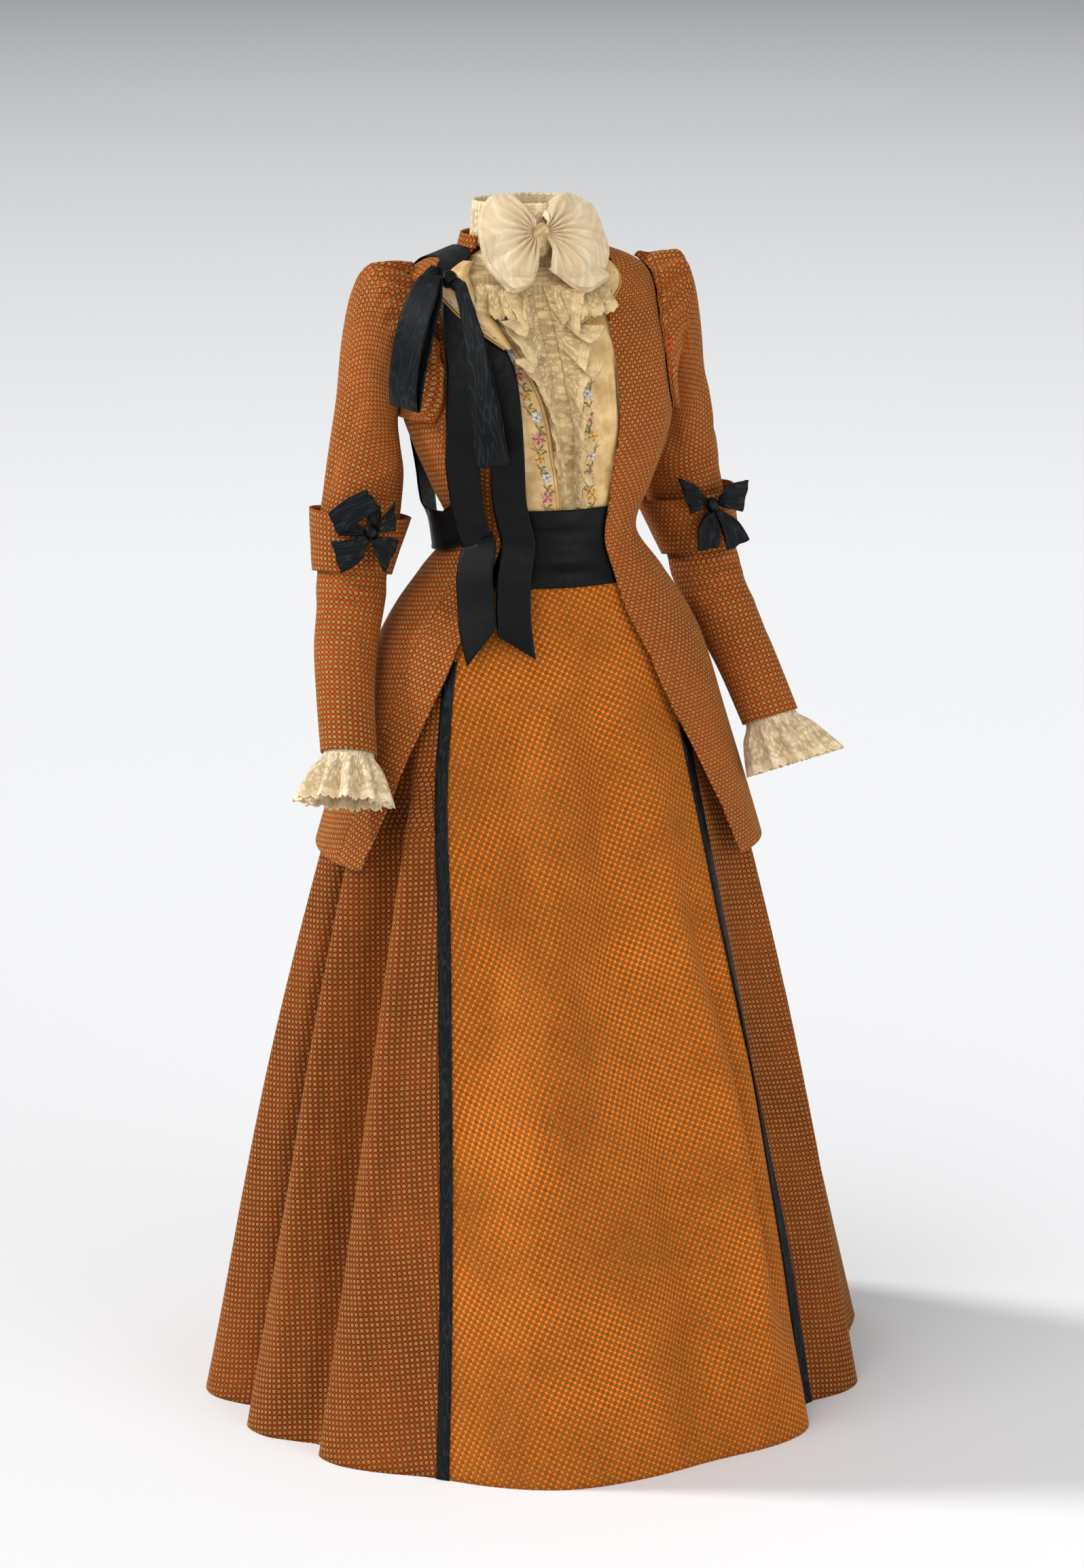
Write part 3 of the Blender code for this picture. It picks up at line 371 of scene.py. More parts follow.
def worked(tree, operation, *values):
    # One step of arithmetic on values or sockets
    return addNode(tree, "ShaderNodeMath", dict(enumerate(values)), operation=operation).outputs[0]


def vectorWorked(tree, operation, *values, out=0):
    # One step of arithmetic on vectors
    return addNode(tree, "ShaderNodeVectorMath", dict(enumerate(values)), operation=operation).outputs[out]


def scaled(tree, vector, by):
    # A vector or a colour times a value
    return addNode(tree, "ShaderNodeVectorMath", {0: vector, "Scale": by}, operation="SCALE").outputs[0]


def mixed(tree, share, first, second):
    # A blend from the first colour to the second
    inputs = {"Factor": share, 6: first, 7: second}
    return addNode(tree, "ShaderNodeMix", inputs, data_type="RGBA").outputs[2]


def ramp(tree, value, *stops):
    # Colours at positions of a value, in rising order
    node = addNode(tree, "ShaderNodeValToRGB", {"Fac": value})
    elements = node.color_ramp.elements
    while len(elements) < len(stops):
        elements.new(1.0)
    for element, (position, colour) in zip(elements, stops):
        element.position, element.color = position, colour
    return node.outputs[0]


def finished(tree, shader, colour, height, strength, distance):
    # The colour and the relief joined to the shader
    tree.links.new(colour, shader.inputs["Base Color"])
    bump = addNode(tree, "ShaderNodeBump", {"Height": height, "Strength": strength, "Distance": distance})
    tree.links.new(bump.outputs[0], shader.inputs["Normal"])


velvetSettings = {
    "pitch": 0.0060,  # dots every 6 mm both ways
    "dotEdge": 0.345,  # dot radius in pitches: 4.1 mm across
    "pileHeight": 0.0013,
    "drift": 0.0009,  # how far the dots wander from a straight row
    # Colours of each cut: the depth colour is painted shade at the dots' feet, and the rim colour is a
    # painted highlight. The front cut is painted brighter and the side cut darker, with the jacket cut in
    # between: partly the nap of each panel, and partly painted light and shade
    "front": ("#e87a20", "#7a2a06", "#a87830", "#7a5018"),  # ground, its depth, dot rim, dot middle
    "jacket": ("#bc4c12", "#220702", "#d2a35c", "#966a30"),
    "side": ("#94390e", "#1c0602", "#cc9449", "#82541f"),
}


def makeVelvet(name, cut):
    # Figured velvet: a silky rust ground between round dots of uncut gold pile that stand 1.3 mm
    # proud. Each dot has painted shade at its foot, a painted pale highlight on its rim, and a darker
    # middle worn a little lower. The ground is painted bright in the skirt's front panel and deep where
    # the cloth is turned the other way: partly its nap, and partly painted light and shade
    s = velvetSettings
    edge = s["dotEdge"]
    ground, deep, rim, top = (hexColour(code) for code in s[cut])
    material, tree, shader = newMaterial(
        name,
        Roughness=0.85,
        Sheen_Weight=0.36,
        Sheen_Roughness=0.30,
        Sheen_Tint=hexColour("#e8b060"),
        Specular_IOR_Level=0.12,
    )
    uv = clothPlace(tree)
    wander = noise(tree, uv, 22.0, 1.0, out="Color")
    drift = vectorWorked(tree, "MULTIPLY_ADD", wander, (s["drift"], s["drift"], 0.0), uv)
    cells = scaled(tree, drift, 1 / s["pitch"])
    centred = vectorWorked(tree, "SUBTRACT", vectorWorked(tree, "FRACTION", cells), (0.5, 0.5, 0.0))
    radius = vectorWorked(tree, "LENGTH", centred, out="Value")
    # Every dot of pile is a little different, from a value of its own
    whichDot = {"Vector": vectorWorked(tree, "FLOOR", cells)}
    own = addNode(tree, "ShaderNodeTexWhiteNoise", whichDot, noise_dimensions="2D").outputs["Value"]
    pile = noise(tree, uv, 1500.0, 2.0, 0.7)
    # Painted highlight: each dot's rim is lighter than its middle. Painted shade: the ground next to each dot
    # takes the deep colour at the dot's foot
    dotWithRimHighlight = ramp(tree, radius, (0.08, top), (edge * 0.84, rim), (edge + 0.03, top))
    groundWithFootShade = ramp(tree, radius, (edge + 0.03, deep), (edge + 0.19, ground))
    dots = scaled(tree, dotWithRimHighlight, ranged(tree, own, 0.0, 1.0, 0.82, 1.12, "LINEAR"))
    patches = ranged(tree, noise(tree, uv, 7.0, 3.0, 0.6), 0.32, 0.68, 0.70, 1.26, "LINEAR")
    onDot = ranged(tree, radius, edge + 0.015, edge - 0.025, 0.0, 1.0)
    both = mixed(tree, onDot, scaled(tree, groundWithFootShade, patches), dots)
    colour = scaled(tree, both, ranged(tree, pile, 0.3, 0.7, 0.84, 1.14, "LINEAR"))
    dome = ranged(tree, radius, edge + 0.02, edge - 0.13, 0.0, 1.0)
    worn = ranged(tree, radius, 0.20, 0.02, 1.0, 0.75)
    height = worked(tree, "MULTIPLY_ADD", pile, 0.18, worked(tree, "MULTIPLY", dome, worn))
    finished(tree, shader, colour, height, 0.9, s["pileHeight"])
    return material


def makeRibbed(name, dark, light, roughness, ribs, figure, figureSize):
    # Ribbon silk: fine ribs from edge to edge, and for moire the watered figure where the ribs were
    # pressed flat: long loops down the ribbon that are a little paler and glossier. Ribs are drawn
    # about twice as coarse as real, so that they show
    material, tree, shader = newMaterial(name, Roughness=roughness, Specular_IOR_Level=0.14)
    uv = clothPlace(tree)
    stretched = addNode(tree, "ShaderNodeMapping", {"Vector": uv, "Scale": figureSize}).outputs[0]
    bands = worked(tree, "SINE", worked(tree, "MULTIPLY", noise(tree, stretched, 1.0, 1.5), 60.0))
    shine = ranged(tree, bands, 0.35, 1.0, 0.0, figure)
    lit = worked(tree, "MULTIPLY_ADD", noise(tree, uv, 60.0, 4.0), 0.18, shine)
    gloss = ranged(tree, bands, -1.0, 1.0, roughness + 0.07, roughness - 0.05, "LINEAR")
    tree.links.new(gloss, shader.inputs["Roughness"])
    wave = {"Vector": uv, "Scale": ribs, "Distortion": 0.6, "Detail": 1.0, "Detail Scale": 0.5}
    ribWave = addNode(tree, "ShaderNodeTexWave", wave, bands_direction="Y").outputs["Fac"]
    finished(tree, shader, mixed(tree, lit, hexColour(dark), hexColour(light)), ribWave, 0.2, 0.0002)
    return material


def makeCreamSatin():
    # Silk satin gone golden with age: a smooth glossy face with long faint slubs, a fine weave and
    # cloudy darker patches
    material, tree, shader = newMaterial(
        "creamSatin",
        Roughness=0.36,
        Sheen_Weight=0.25,
        Sheen_Roughness=0.4,
        Sheen_Tint=hexColour("#fff0d0"),
        Specular_IOR_Level=0.6,
    )
    uv = clothPlace(tree)
    long = addNode(tree, "ShaderNodeMapping", {"Vector": uv, "Scale": (2200.0, 70.0, 1.0)}).outputs[0]
    slubs = noise(tree, long, 1.0, 2.0)
    clouds = noise(tree, uv, 34.0, 4.0, 0.6)
    colour = ramp(tree, clouds, (0.30, hexColour("#bd8d4c")), (0.60, hexColour("#e9c686")))
    colour = scaled(tree, colour, ranged(tree, slubs, 0.3, 0.7, 0.93, 1.05, "LINEAR"))
    finished(tree, shader, colour, slubs, 0.25, 0.0002)
    return material


laceSettings = {
    "sprig": 0.0080,  # from one woven flower to the next
    "hole": 0.0012,  # one hole of the ground, drawn about twice as coarse as real so that it shows
    "border": 0.010,  # close border along the scalloped edge
    "eyelet": 0.0032,
}


def makeLace(name, thin, pale, deep, sprigged, streak):
    # Bobbin lace of fine cream thread: a ground of small holes that shows a little of what is behind,
    # woven flowers that are nearly solid, and a close border with eyelets. The v coordinate is the
    # distance from the free edge. Net for the bow is the same thread in a thinner, plainer ground, with
    # its threads drawn out along the folds
    s = laceSettings
    material, tree, shader = newMaterial(name, Roughness=0.85, Sheen_Weight=0.15, Specular_IOR_Level=0.2)
    uv = clothPlace(tree)

    def cellsOf(size, randomness, feature):
        inputs = {"Vector": uv, "Scale": 1 / size, "Randomness": randomness}
        settings = {"feature": feature, "voronoi_dimensions": "2D"}
        return addNode(tree, "ShaderNodeTexVoronoi", inputs, **settings).outputs["Distance"]

    def combined(operation, first, second):
        return worked(tree, operation, first, second)

    thread = ranged(tree, cellsOf(s["hole"], 0.5, "DISTANCE_TO_EDGE"), 0.26, 0.14, 0.0, 1.0)
    ragged = noise(tree, uv, 420.0, 1.0)
    flower = combined("ADD", cellsOf(s["sprig"], 1.0, "F1"), combined("MULTIPLY", ragged, 0.5))
    petals = ranged(tree, flower, 0.66, 0.54, 0.0, sprigged)
    fromEdge = addNode(tree, "ShaderNodeSeparateXYZ", {0: uv}).outputs["Y"]
    border = ranged(tree, fromEdge, s["border"] * 1.15, s["border"] * 0.85, 0.0, 1.0)
    eyelets = ranged(tree, cellsOf(s["eyelet"], 0.25, "F1"), 0.20, 0.32, 0.0, 1.0)
    woven = combined("MAXIMUM", petals, combined("MULTIPLY", border, eyelets))
    drawn = combined("MAXIMUM", woven, combined("MULTIPLY", thread, 0.72))
    tree.links.new(ranged(tree, drawn, 0.0, 0.9, thin, 1.0), shader.inputs["Alpha"])
    aged = noise(tree, vectorWorked(tree, "MULTIPLY", uv, streak), 60.0, 4.0)
    tone = combined("ADD", combined("MULTIPLY", aged, 0.7), combined("MULTIPLY", drawn, 0.22))
    colour = ramp(tree, tone, (0.15, hexColour(deep)), (0.70, hexColour(pale)))
    relief = combined("ADD", combined("MULTIPLY", ragged, 0.4), drawn)
    finished(tree, shader, colour, relief, 0.7, 0.0006)
    return material


def makeFloss():
    # Silk embroidery floss in satin stitch: soft sheen over close parallel threads, in colours that
    # the stitched shapes carry themselves
    material, tree, shader = newMaterial("embroideryFloss", Roughness=0.5, Sheen_Weight=0.2)
    colour = addNode(tree, "ShaderNodeAttribute", attribute_name="floss").outputs["Color"]
    wave = {"Vector": clothPlace(tree), "Scale": 380.0, "Distortion": 0.8}
    threads = addNode(tree, "ShaderNodeTexWave", wave, bands_direction="X").outputs["Fac"]
    colour = scaled(tree, colour, ranged(tree, threads, 0.0, 1.0, 0.80, 1.08, "LINEAR"))
    finished(tree, shader, colour, threads, 0.4, 0.0002)
    return material


# Stuffs: a material, its slot and the thickness of the cloth
# Three copies of the velvet: the front painted brighter, the side darker and the jacket in between, partly
# for the nap and partly as painted light and shade
velvet = {
    cut: (makeVelvet(f"figuredVelvet_{cut}", cut), "dotted_velvet", walls["velvet"])
    for cut in ("front", "jacket", "side")
}
moireRibbon = makeRibbed("blackMoireRibbon", "#050607", "#1c2226", 0.42, 300.0, 0.85, (75.0, 13.0, 1.0))
satinRibbon = makeRibbed("blackSatinRibbon", "#050607", "#101316", 0.40, 520.0, 0.06, (20.0, 20.0, 1.0))
moire = (moireRibbon, "moire_ribbon", walls["silk"])
satin = (satinRibbon, "black_satin", walls["silk"])
creamSatin = (makeCreamSatin(), "cream_satin", walls["silk"])
lace, net, agedLace = (
    (makeLace(*looks), "cream_lace", walls["lace"])
    for looks in (
        ("creamLace", 0.88, "#fdeac2", "#a37b42", 1.0, (1.0, 1.0, 1.0)),
        ("creamNet", 0.90, "#fff0cf", "#c99f62", 0.2, (0.22, 1.6, 1.0)),
        ("agedCreamLace", 0.96, "#eed29c", "#86602e", 1.0, (1.0, 1.0, 1.0)),
    )
)
floss = (makeFloss(), "cream_satin")
pipingColour = hexColour("#b98a4a")
pipingSilk = (
    newMaterial("tanPipingSilk", Roughness=0.55, Sheen_Weight=0.1, Base_Color=pipingColour)[0],
    "cream_satin",
)
print("materials made")

# The skirt: a front panel edged with ribbon, two side panels and a back panel
skirtSettings = {
    "rows": 130,
    "top": -0.0015,
    "bandWidth": 0.016,
    "bandTop": -0.13,
    "bandLift": 0.0007,
    "pucker": 0.0011,
    "seam": 0.0009,
    "backGap": 0.0002,
    "backSeam": 130.0,
    "frontGrain": 29.0,  # the front panel is cut on the bias
    "sideGrain": 10.0,
}
frontSeam = table(
    "height left right",
    (-1, 48.5, 37), (-0.86, 48.5, 37.5), (-0.68, 46, 39), (-0.54, 40, 41), (-0.4, 38, 44),
    (-0.23, 38.5, 50), (-0.1, 40, 52), (0, 42, 52),
)
skirtCreases = {
    "front": (
        (-0.16, -8, -0.46, -16, -0.98, -20, 34, 15, 0.25), (-0.12, 12, -0.42, 22, -0.8, 27, 24, 11, 0.3),
        (-0.3, 20, -0.62, 33, -0.98, 35, 22, -17, 0.3), (-0.1, -24, -0.34, -30, -0.7, -30, 26, -11, 0.3),
        (-0.1, 2, -0.3, 3, -0.62, -1, 24, -11, 0.3), (-0.5, 4, -0.76, 12, -0.99, 10, 32, -14, 0.3),
        (-0.46, 26, -0.7, 29, -0.99, 26, 16, 10, 0.3), (-0.34, -22, -0.48, -14, -0.66, -10, 22, 10, 0.4),
    ),
    "back": (
        (-0.14, 152, -0.5, 147, -0.99, 143, 11, 8, 0.25), (-0.2, 138, -0.55, 136, -0.99, 133, 16, -8, 0.25),
        (-0.12, 170, -0.48, 172, -0.99, 176, 13, 9, 0.25),
        (-0.16, 161, -0.52, 161, -0.99, 162, 18, -9, 0.25),
        (-0.1, 188, -0.5, 192, -0.99, 193, 18, -8, 0.25), (-0.18, 203, -0.56, 206, -0.99, 210, 12, 9, 0.25),
        (-0.22, 219, -0.6, 221, -0.99, 224, 15, -7, 0.25),
    ),
    # The side panels' lines run on below the hem, so the folds keep their depth there
    right: (
        (-0.24, -58, -0.56, -56, -1.15, -55, 14, 10, 0.15),
        (-0.22, -68, -0.58, -66, -1.15, -65, 17, -34, 0.15),
        (-0.26, -82, -0.58, -79, -1.15, -77, 15, 12, 0.15),
        (-0.24, -93, -0.6, -90, -1.15, -88, 18, -30, 0.15),
        (-0.2, -106, -0.56, -103, -1.15, -101, 16, 10, 0.15),
        (-0.22, -119, -0.6, -117, -1.15, -116, 18, -20, 0.15),
    ),
    left: (
        (-0.26, 61, -0.6, 61, -1.15, 62, 14, 10, 0.15), (-0.24, 70, -0.58, 72, -1.15, 74, 18, -26, 0.15),
        (-0.2, 84, -0.56, 88, -1.15, 91, 14, 10, 0.15), (-0.22, 98, -0.56, 100, -1.15, 102, 16, -18, 0.15),
        (-0.2, 118, -0.6, 119, -1.15, 120, 18, -16, 0.15),
    ),
}


def seamAngle(height, side):
    # Angle of the front panel's seam on one side
    return side * readOff(frontSeam, height, sideNames[side])


def drawnIn(points, first, last):
    # A grid's two side edges drawn in by the seam's gap
    points = np.array(points)
    points[:, 0] += unit(points[:, 1] - points[:, 0]) * first
    points[:, -1] += unit(points[:, -2] - points[:, -1]) * last
    return points


def makeSkirt():
    # Four panels of velvet between seam angles, then a band along each front seam
    s = skirtSettings
    heights = np.linspace(hem, s["top"], s["rows"])
    edge = {side: seamAngle(heights, side) for side in sideNames}
    front = drawnIn(spanned(skirt, heights, edge[right], edge[left], 96), s["seam"], s["seam"])
    front = creased(front, skirt, skirtCreases["front"])
    cloth("skirtFront", front, velvet["front"], "skirt_front", turn=s["frontGrain"])
    back = spanned(skirt, heights, s["backSeam"], 360 - s["backSeam"], 90)
    back = drawnIn(creased(back, skirt, skirtCreases["back"]), s["backGap"], s["backGap"])
    cloth("skirtBack", back, velvet["side"], "skirt_back", turn=s["sideGrain"])
    over = moved(skirt, walls["velvet"] / 2 + s["bandLift"] + walls["silk"] / 2)
    shown = np.linspace(hem, s["bandTop"], 260)
    reach = np.degrees(s["bandWidth"] / 2 / readOff(bodyForm, shown, "half"))[:, None]
    acrossBand = np.linspace(-1, 1, 7)
    for side, word in sideNames.items():
        rows = facingOut(spanned(skirt, heights, edge[side], side * s["backSeam"], 112), side)
        rows = drawnIn(creased(rows, skirt, skirtCreases[side]), *(s["seam"], s["backGap"])[::side])
        cloth(f"skirtSide_{word}", rows, velvet["side"], f"skirt_side_{word}", turn=side * s["sideGrain"])
        band = over(shown[:, None], seamAngle(shown, side)[:, None] + reach * acrossBand)
        # The ribbon is gathered a little by its stitching: short uneven puckers between the edges
        pucker = 0.5 + 0.5 * np.sin(shown * 620 + 2.2 * np.sin(shown * 90 + side)) * np.sin(shown * 47)
        lift = s["pucker"] * pucker[:, None] * np.cos(acrossBand * 1.3) ** 2
        band = band + gridNormals(band) * lift[..., None]
        node = f"skirt_band_{word}"
        cloth(f"skirtBand_{word}", band, moire, node)


makeSkirt()
print("skirt made")

# The jacket: two fronts, two side panels, two backs and a collar
jacketSettings = {
    "frontGrain": {left: 45.0, right: 12.0},
    "sideGrain": 12.0,
    "seam": 0.0002,
    "hem": -0.36,
    "top": 0.306,
    "collarTop": 0.322,
    "collarGap": 0.0004,
    "collarLean": ((0.3074, 0.320, 0.334), (0.0, 0.0035, 0.0055)),  # heights, and how far in
}
jacketFrontEdge = table(
    "height left right",
    (-0.36, 46, 70.5), (-0.3, 41.5, 65.5), (-0.24, 36, 61), (-0.18, 29, 54.5), (-0.13, 25, 49),
    (-0.07, 20.5, 46), (0, 22.5, 44), (0.09, 18, 40), (0.18, 19.8, 38), (0.236, 21, 40), (0.28, 34, 50),
    (0.306, 56, 66),
)
sideSeams = table(
    "height front back",
    (-0.36, 83, 124), (-0.2, 74, 120), (-0.08, 66, 116), (0, 64, 116), (0.13, 64, 116),
)
armhole = table(
    "height front back",
    (0.13, 64, 116), (0.155, 57, 121), (0.18, 55, 123), (0.22, 57, 121), (0.256, 66, 112), (0.274, 79, 100),
    (0.28, 90, 90), (0.32, 90, 90),
)
jacketCreases = (
    (0.2, 44, 0.1, 50, 0, 52, 10, 1.6, 0.3), (0.03, 30, -0.01, 44, -0.02, 58, 7, -1.8, 0.4),
    (-0.03, 34, -0.05, 46, -0.05, 60, 8, 1.6, 0.4), (0.16, 40, 0.19, 50, 0.24, 58, 9, 1.8, 0.4),
)


def frontEdge(height, side):
    # Angle of the jacket's front edge on one side
    return side * readOff(jacketFrontEdge, height, sideNames[side])


def jacketEdge(height, name):
    # The seam below the armhole, then the armhole, then the shoulder line
    height = np.asarray(height, float)
    return np.where(height <= underarm, readOff(sideSeams, height, name), readOff(armhole, height, name))


def collarRow(height, angle, base, out):
    # A neckband: the neck's own ellipse carried straight up to each height, moved out by a distance
    point = form(base, angle) * (1, 1, 0) + np.array([0, 0, 1]) * np.asarray(height)[..., None]
    return point + outward(point, out)


def makeJacket():
    # Three panels a side between edge angles, each drawn in at its seams, then a strip of collar
    s = jacketSettings
    below, above = np.linspace(s["hem"], underarm, 78), np.linspace(underarm + 0.004, s["top"], 44)
    heights = np.concatenate([below, above])
    for side, word in sideNames.items():
        inFront, behind = (side * jacketEdge(heights, name) for name in ("front", "back"))
        count = len(below)
        front = spanned(jacket, heights, frontEdge(heights, side), inFront, 44)
        front = creased(front, lambda height, angle: jacket(height, side * angle), jacketCreases)
        panels = {
            "Front": (front, s["frontGrain"][side]),
            "Side": (spanned(jacket, below, inFront[:count], behind[:count], 40), side * s["sideGrain"]),
            "Back": (spanned(jacket, heights, behind, side * 180.0, 48), side * s["sideGrain"]),
        }
        for part, (panel, turn) in panels.items():
            panel = drawnIn(facingOut(panel, side), s["seam"], s["seam"])
            cloth(f"jacket{part}_{word}", panel, velvet["jacket"], f"jacket_{part.lower()}_{word}", turn=turn)
    angles = np.linspace(64, 296, 90)[None, :]
    stand = np.linspace(s["top"] + walls["velvet"] / 2 + s["collarGap"], s["collarTop"], 10)[:, None]
    ease = readOff(jacketEase, s["top"], "ease")
    lean = ease - np.interp(stand, *s["collarLean"])
    rows = collarRow(stand + 0 * angles, angles + 0 * stand, s["top"], lean + 0 * angles)
    cloth("jacketCollar", rows, velvet["jacket"], "jacket_collar")


makeJacket()
print("jacket made")

# The sleeves: rings from the armhole to the wrist
sleeveSettings = {
    "roundArm": 80,
    "upperRings": 8,
    "gathers": 17,
    "gatherLift": 0.0040,
    "inside": 0.0008,  # gap between two layers of velvet
    "cuffRows": (5.25, 6.1, 7.0),
    "cuffEase": (0.013, 0.007, 0.0029),
}
sleeve = table(
    "inner innerHeight outer outerHeight y lean deep",
    (0.158, 0.136, 0.178, 0.29, 0.05, 0, 0.054), (0.158, 0.12, 0.194, 0.268, 0.055, 0, 0.055),
    (0.155, 0.104, 0.206, 0.215, 0.059, 0, 0.053), (0.15, 0.085, 0.214, 0.15, 0.061, 0, 0.05),
    (0.146, 0.06, 0.224, 0.092, 0.06, 0, 0.048), (0.15, 0.022, 0.234, 0.035, 0.057, 2, 0.047),
    (0.16, -0.02, 0.243, -0.01, 0.05, 6, 0.046), (0.169, -0.052, 0.249, -0.042, 0.042, 10, 0.044),
    (0.178, -0.085, 0.251, -0.074, 0.032, 14, 0.04), (0.194, -0.13, 0.262, -0.118, 0.01, 18, 0.037),
    (0.21, -0.18, 0.272, -0.168, -0.026, 20, 0.034), (0.221, -0.232, 0.281, -0.22, -0.065, 20, 0.032),
)
sleeveCreases = {
    "upper": (
        (2.2, 110, 3.4, 145, 4.4, 135, 11, 3.6, 0.4), (2.6, 70, 3.6, 60, 4.6, 75, 10, -3, 0.4),
        (3.6, 50, 4.3, 95, 4.8, 150, 9, -3.4, 0.4), (4.5, 30, 4.9, 80, 5.1, 150, 8, 4, 0.4),
        (5, 30, 5.3, 90, 5.5, 160, 7, -3.4, 0.4), (3.9, 150, 4.4, 170, 5, 165, 8, 3.4, 0.4),
        (2.2, 240, 3.2, 220, 4.4, 235, 11, 3.4, 0.4), (3.4, 300, 4, 270, 4.5, 215, 9, -3, 0.4),
        (4.4, 210, 4.9, 260, 5.2, 310, 8, 3.6, 0.4),
    ),
    "lower": (
        (7.35, 20, 7.45, 85, 7.4, 150, 6, 3, 0.4), (7.6, 40, 7.72, 90, 7.65, 160, 5, -3.6, 0.4),
        (7.95, 50, 8.1, 110, 8, 175, 6, 3.2, 0.4), (8.3, 20, 8.38, 80, 8.3, 140, 6, -3, 0.4),
        (8.7, 60, 8.8, 120, 8.7, 170, 7, 2, 0.4), (9.3, 70, 9.45, 120, 9.4, 170, 7, -2, 0.4),
        (7.7, 200, 7.8, 260, 7.7, 320, 6, -3, 0.4), (8.2, 190, 8.3, 250, 8.2, 300, 7, 2.6, 0.4),
        (8.2, 88, 9.5, 84, 10.9, 80, 2.2, -1.6, 0.1),
    ),
}


def sleeveRing(side, row, turn, ease=0.0):
    # Ellipses through the arm's inner and outer points: centre - across x cos(turn) - behind x sin(turn),
    # so turn 0 is the inner side, 90 the front, 180 the outside and 270 the back
    row, turn, ease = np.broadcast_arrays(np.asarray(row, float), np.radians(turn), ease)
    value = byRow(sleeve, row)
    inner = np.stack([value["inner"], value["y"], value["innerHeight"]], -1)
    outer = np.stack([value["outer"], value["y"], value["outerHeight"]], -1)
    across = (outer - inner) / 2
    across = across * (1 + ease[..., None] / np.linalg.norm(across, axis=-1, keepdims=True))
    lean = np.radians(value["lean"])
    behind = np.stack([0 * lean, np.cos(lean), -np.sin(lean)], -1) * (value["deep"] + ease)[..., None]
    ring = (inner + outer) / 2 - across * np.cos(turn)[..., None] - behind * np.sin(turn)[..., None]
    return ring * np.array([side, 1, 1])


def armholeLoop(side, count, out):
    # The armhole's edge from the underarm up the front and down the back, at even steps along it
    up = np.linspace(underarm, 0.286, 60)
    front, back = (np.stack([up, angle], axis=1) for angle in readOff(armhole, up, "front", "back"))
    bottom = [float(jacketEdge(underarm, name)) for name in ("back", "front")]
    under = np.stack([np.full(20, underarm), np.linspace(*bottom, 20)], axis=1)
    loop = np.concatenate([under[10:], front[1:], back[-2::-1], under[1:11]])
    points = moved(jacket, out)(loop[:, 0], side * loop[:, 1])
    run = runAlong(points)
    at = np.linspace(0, run[-1], count, endpoint=False)
    return np.stack([np.interp(at, run, points[:, k]) for k in range(3)], axis=1)


def makeSleeves():
    # Each sleeve: upper part with a gathered head, lower part and turned-up cuff, as rings round the arm
    s = sleeveSettings
    count, upper = s["roundArm"], s["upperRings"]
    turn = np.linspace(0, 360, count, endpoint=False)
    start = walls["velvet"] + s["inside"]
    last = len(sleeve["y"]) - 1
    for side, word in sideNames.items():

        def arm(row, around):
            return sleeveRing(side, row, around)

        def sleevePiece(part, points, node, grainTurn):
            name = f"sleeve{part}_{word}"
            points, node = facingOut(points, side), f"{node}_{word}"
            cloth(name, points, velvet["jacket"], node, closed=True, turn=grainTurn)

        rings = [armholeLoop(side, count, start), armholeLoop(side, count, start + 0.006)]
        rings += [arm(row, turn) for row in range(upper)]
        at = np.linspace(0, len(rings) - 1, 96)
        points = along(np.arange(len(rings), dtype=float), np.array(rings), at)
        # Gathers at the head: waves round the top that die away down the arm
        top = smooth(0.15, 0.6, np.sin(np.radians(turn / 2)) ** 2)
        fall = np.exp(-(((at - 1.3) / 1.15) ** 2))
        wave = np.sin(np.radians(turn) * s["gathers"] + 0.8 * np.sin(np.radians(turn) * 3))
        lift = s["gatherLift"] * fall[:, None] * (top * wave)[None, :]
        points = points - gridNormals(points, True) * lift[..., None]
        points = creased(points[::-1], arm, sleeveCreases["upper"], True)
        sleevePiece("Upper", points, "sleeve_upper", 4.0)
        rows = np.linspace(upper - 1.5, last, 90)
        inside = -start * (1 - smooth(upper - 1, upper - 0.2, rows))
        points = sleeveRing(side, rows[::-1, None], turn[None, :], inside[::-1, None])
        sleevePiece("Lower", creased(points, arm, sleeveCreases["lower"], True), "sleeve_lower", 2.0)
        rows = np.linspace(s["cuffRows"][0], s["cuffRows"][-1], 26)
        ease = np.interp(rows, s["cuffRows"], s["cuffEase"])
        points = sleeveRing(side, rows[::-1, None], turn[None, :], ease[::-1, None])
        sleevePiece("Cuff", points, "cuff", 2.0)


makeSleeves()
print("sleeves made")

# Lace frills at the wrists; "inside" is the share of their length that is sewn under the sleeve
frillSettings = {
    "length": 0.072,
    "waves": 11,
    "scallops": 5,
    "scallopDepth": 0.0035,
    "inside": 0.17,
    "sweep": 0.010,
    "tuckedIn": 0.0010 + 0.0005 + 0.0012,
}
frill = table(
    "share spread wave",
    (0, 0, 0), (0.17, 0, 0), (0.45, 0.008, 0.005), (0.75, 0.014, 0.0085), (1, 0.018, 0.011),
)


def edgeFlat(points, free, closed=False):
    # Lace coordinates: u along the rows of the free edge, v the distance from it; free is its row
    points = joined(points, closed)
    gaps = np.linalg.norm(np.diff(points, axis=0), axis=-1).mean(axis=1)
    v = np.insert(np.cumsum(gaps), 0, 0)
    return np.stack(np.broadcast_arrays(runAlong(points[free])[None, :], np.abs(v - v[free])[:, None]), -1)


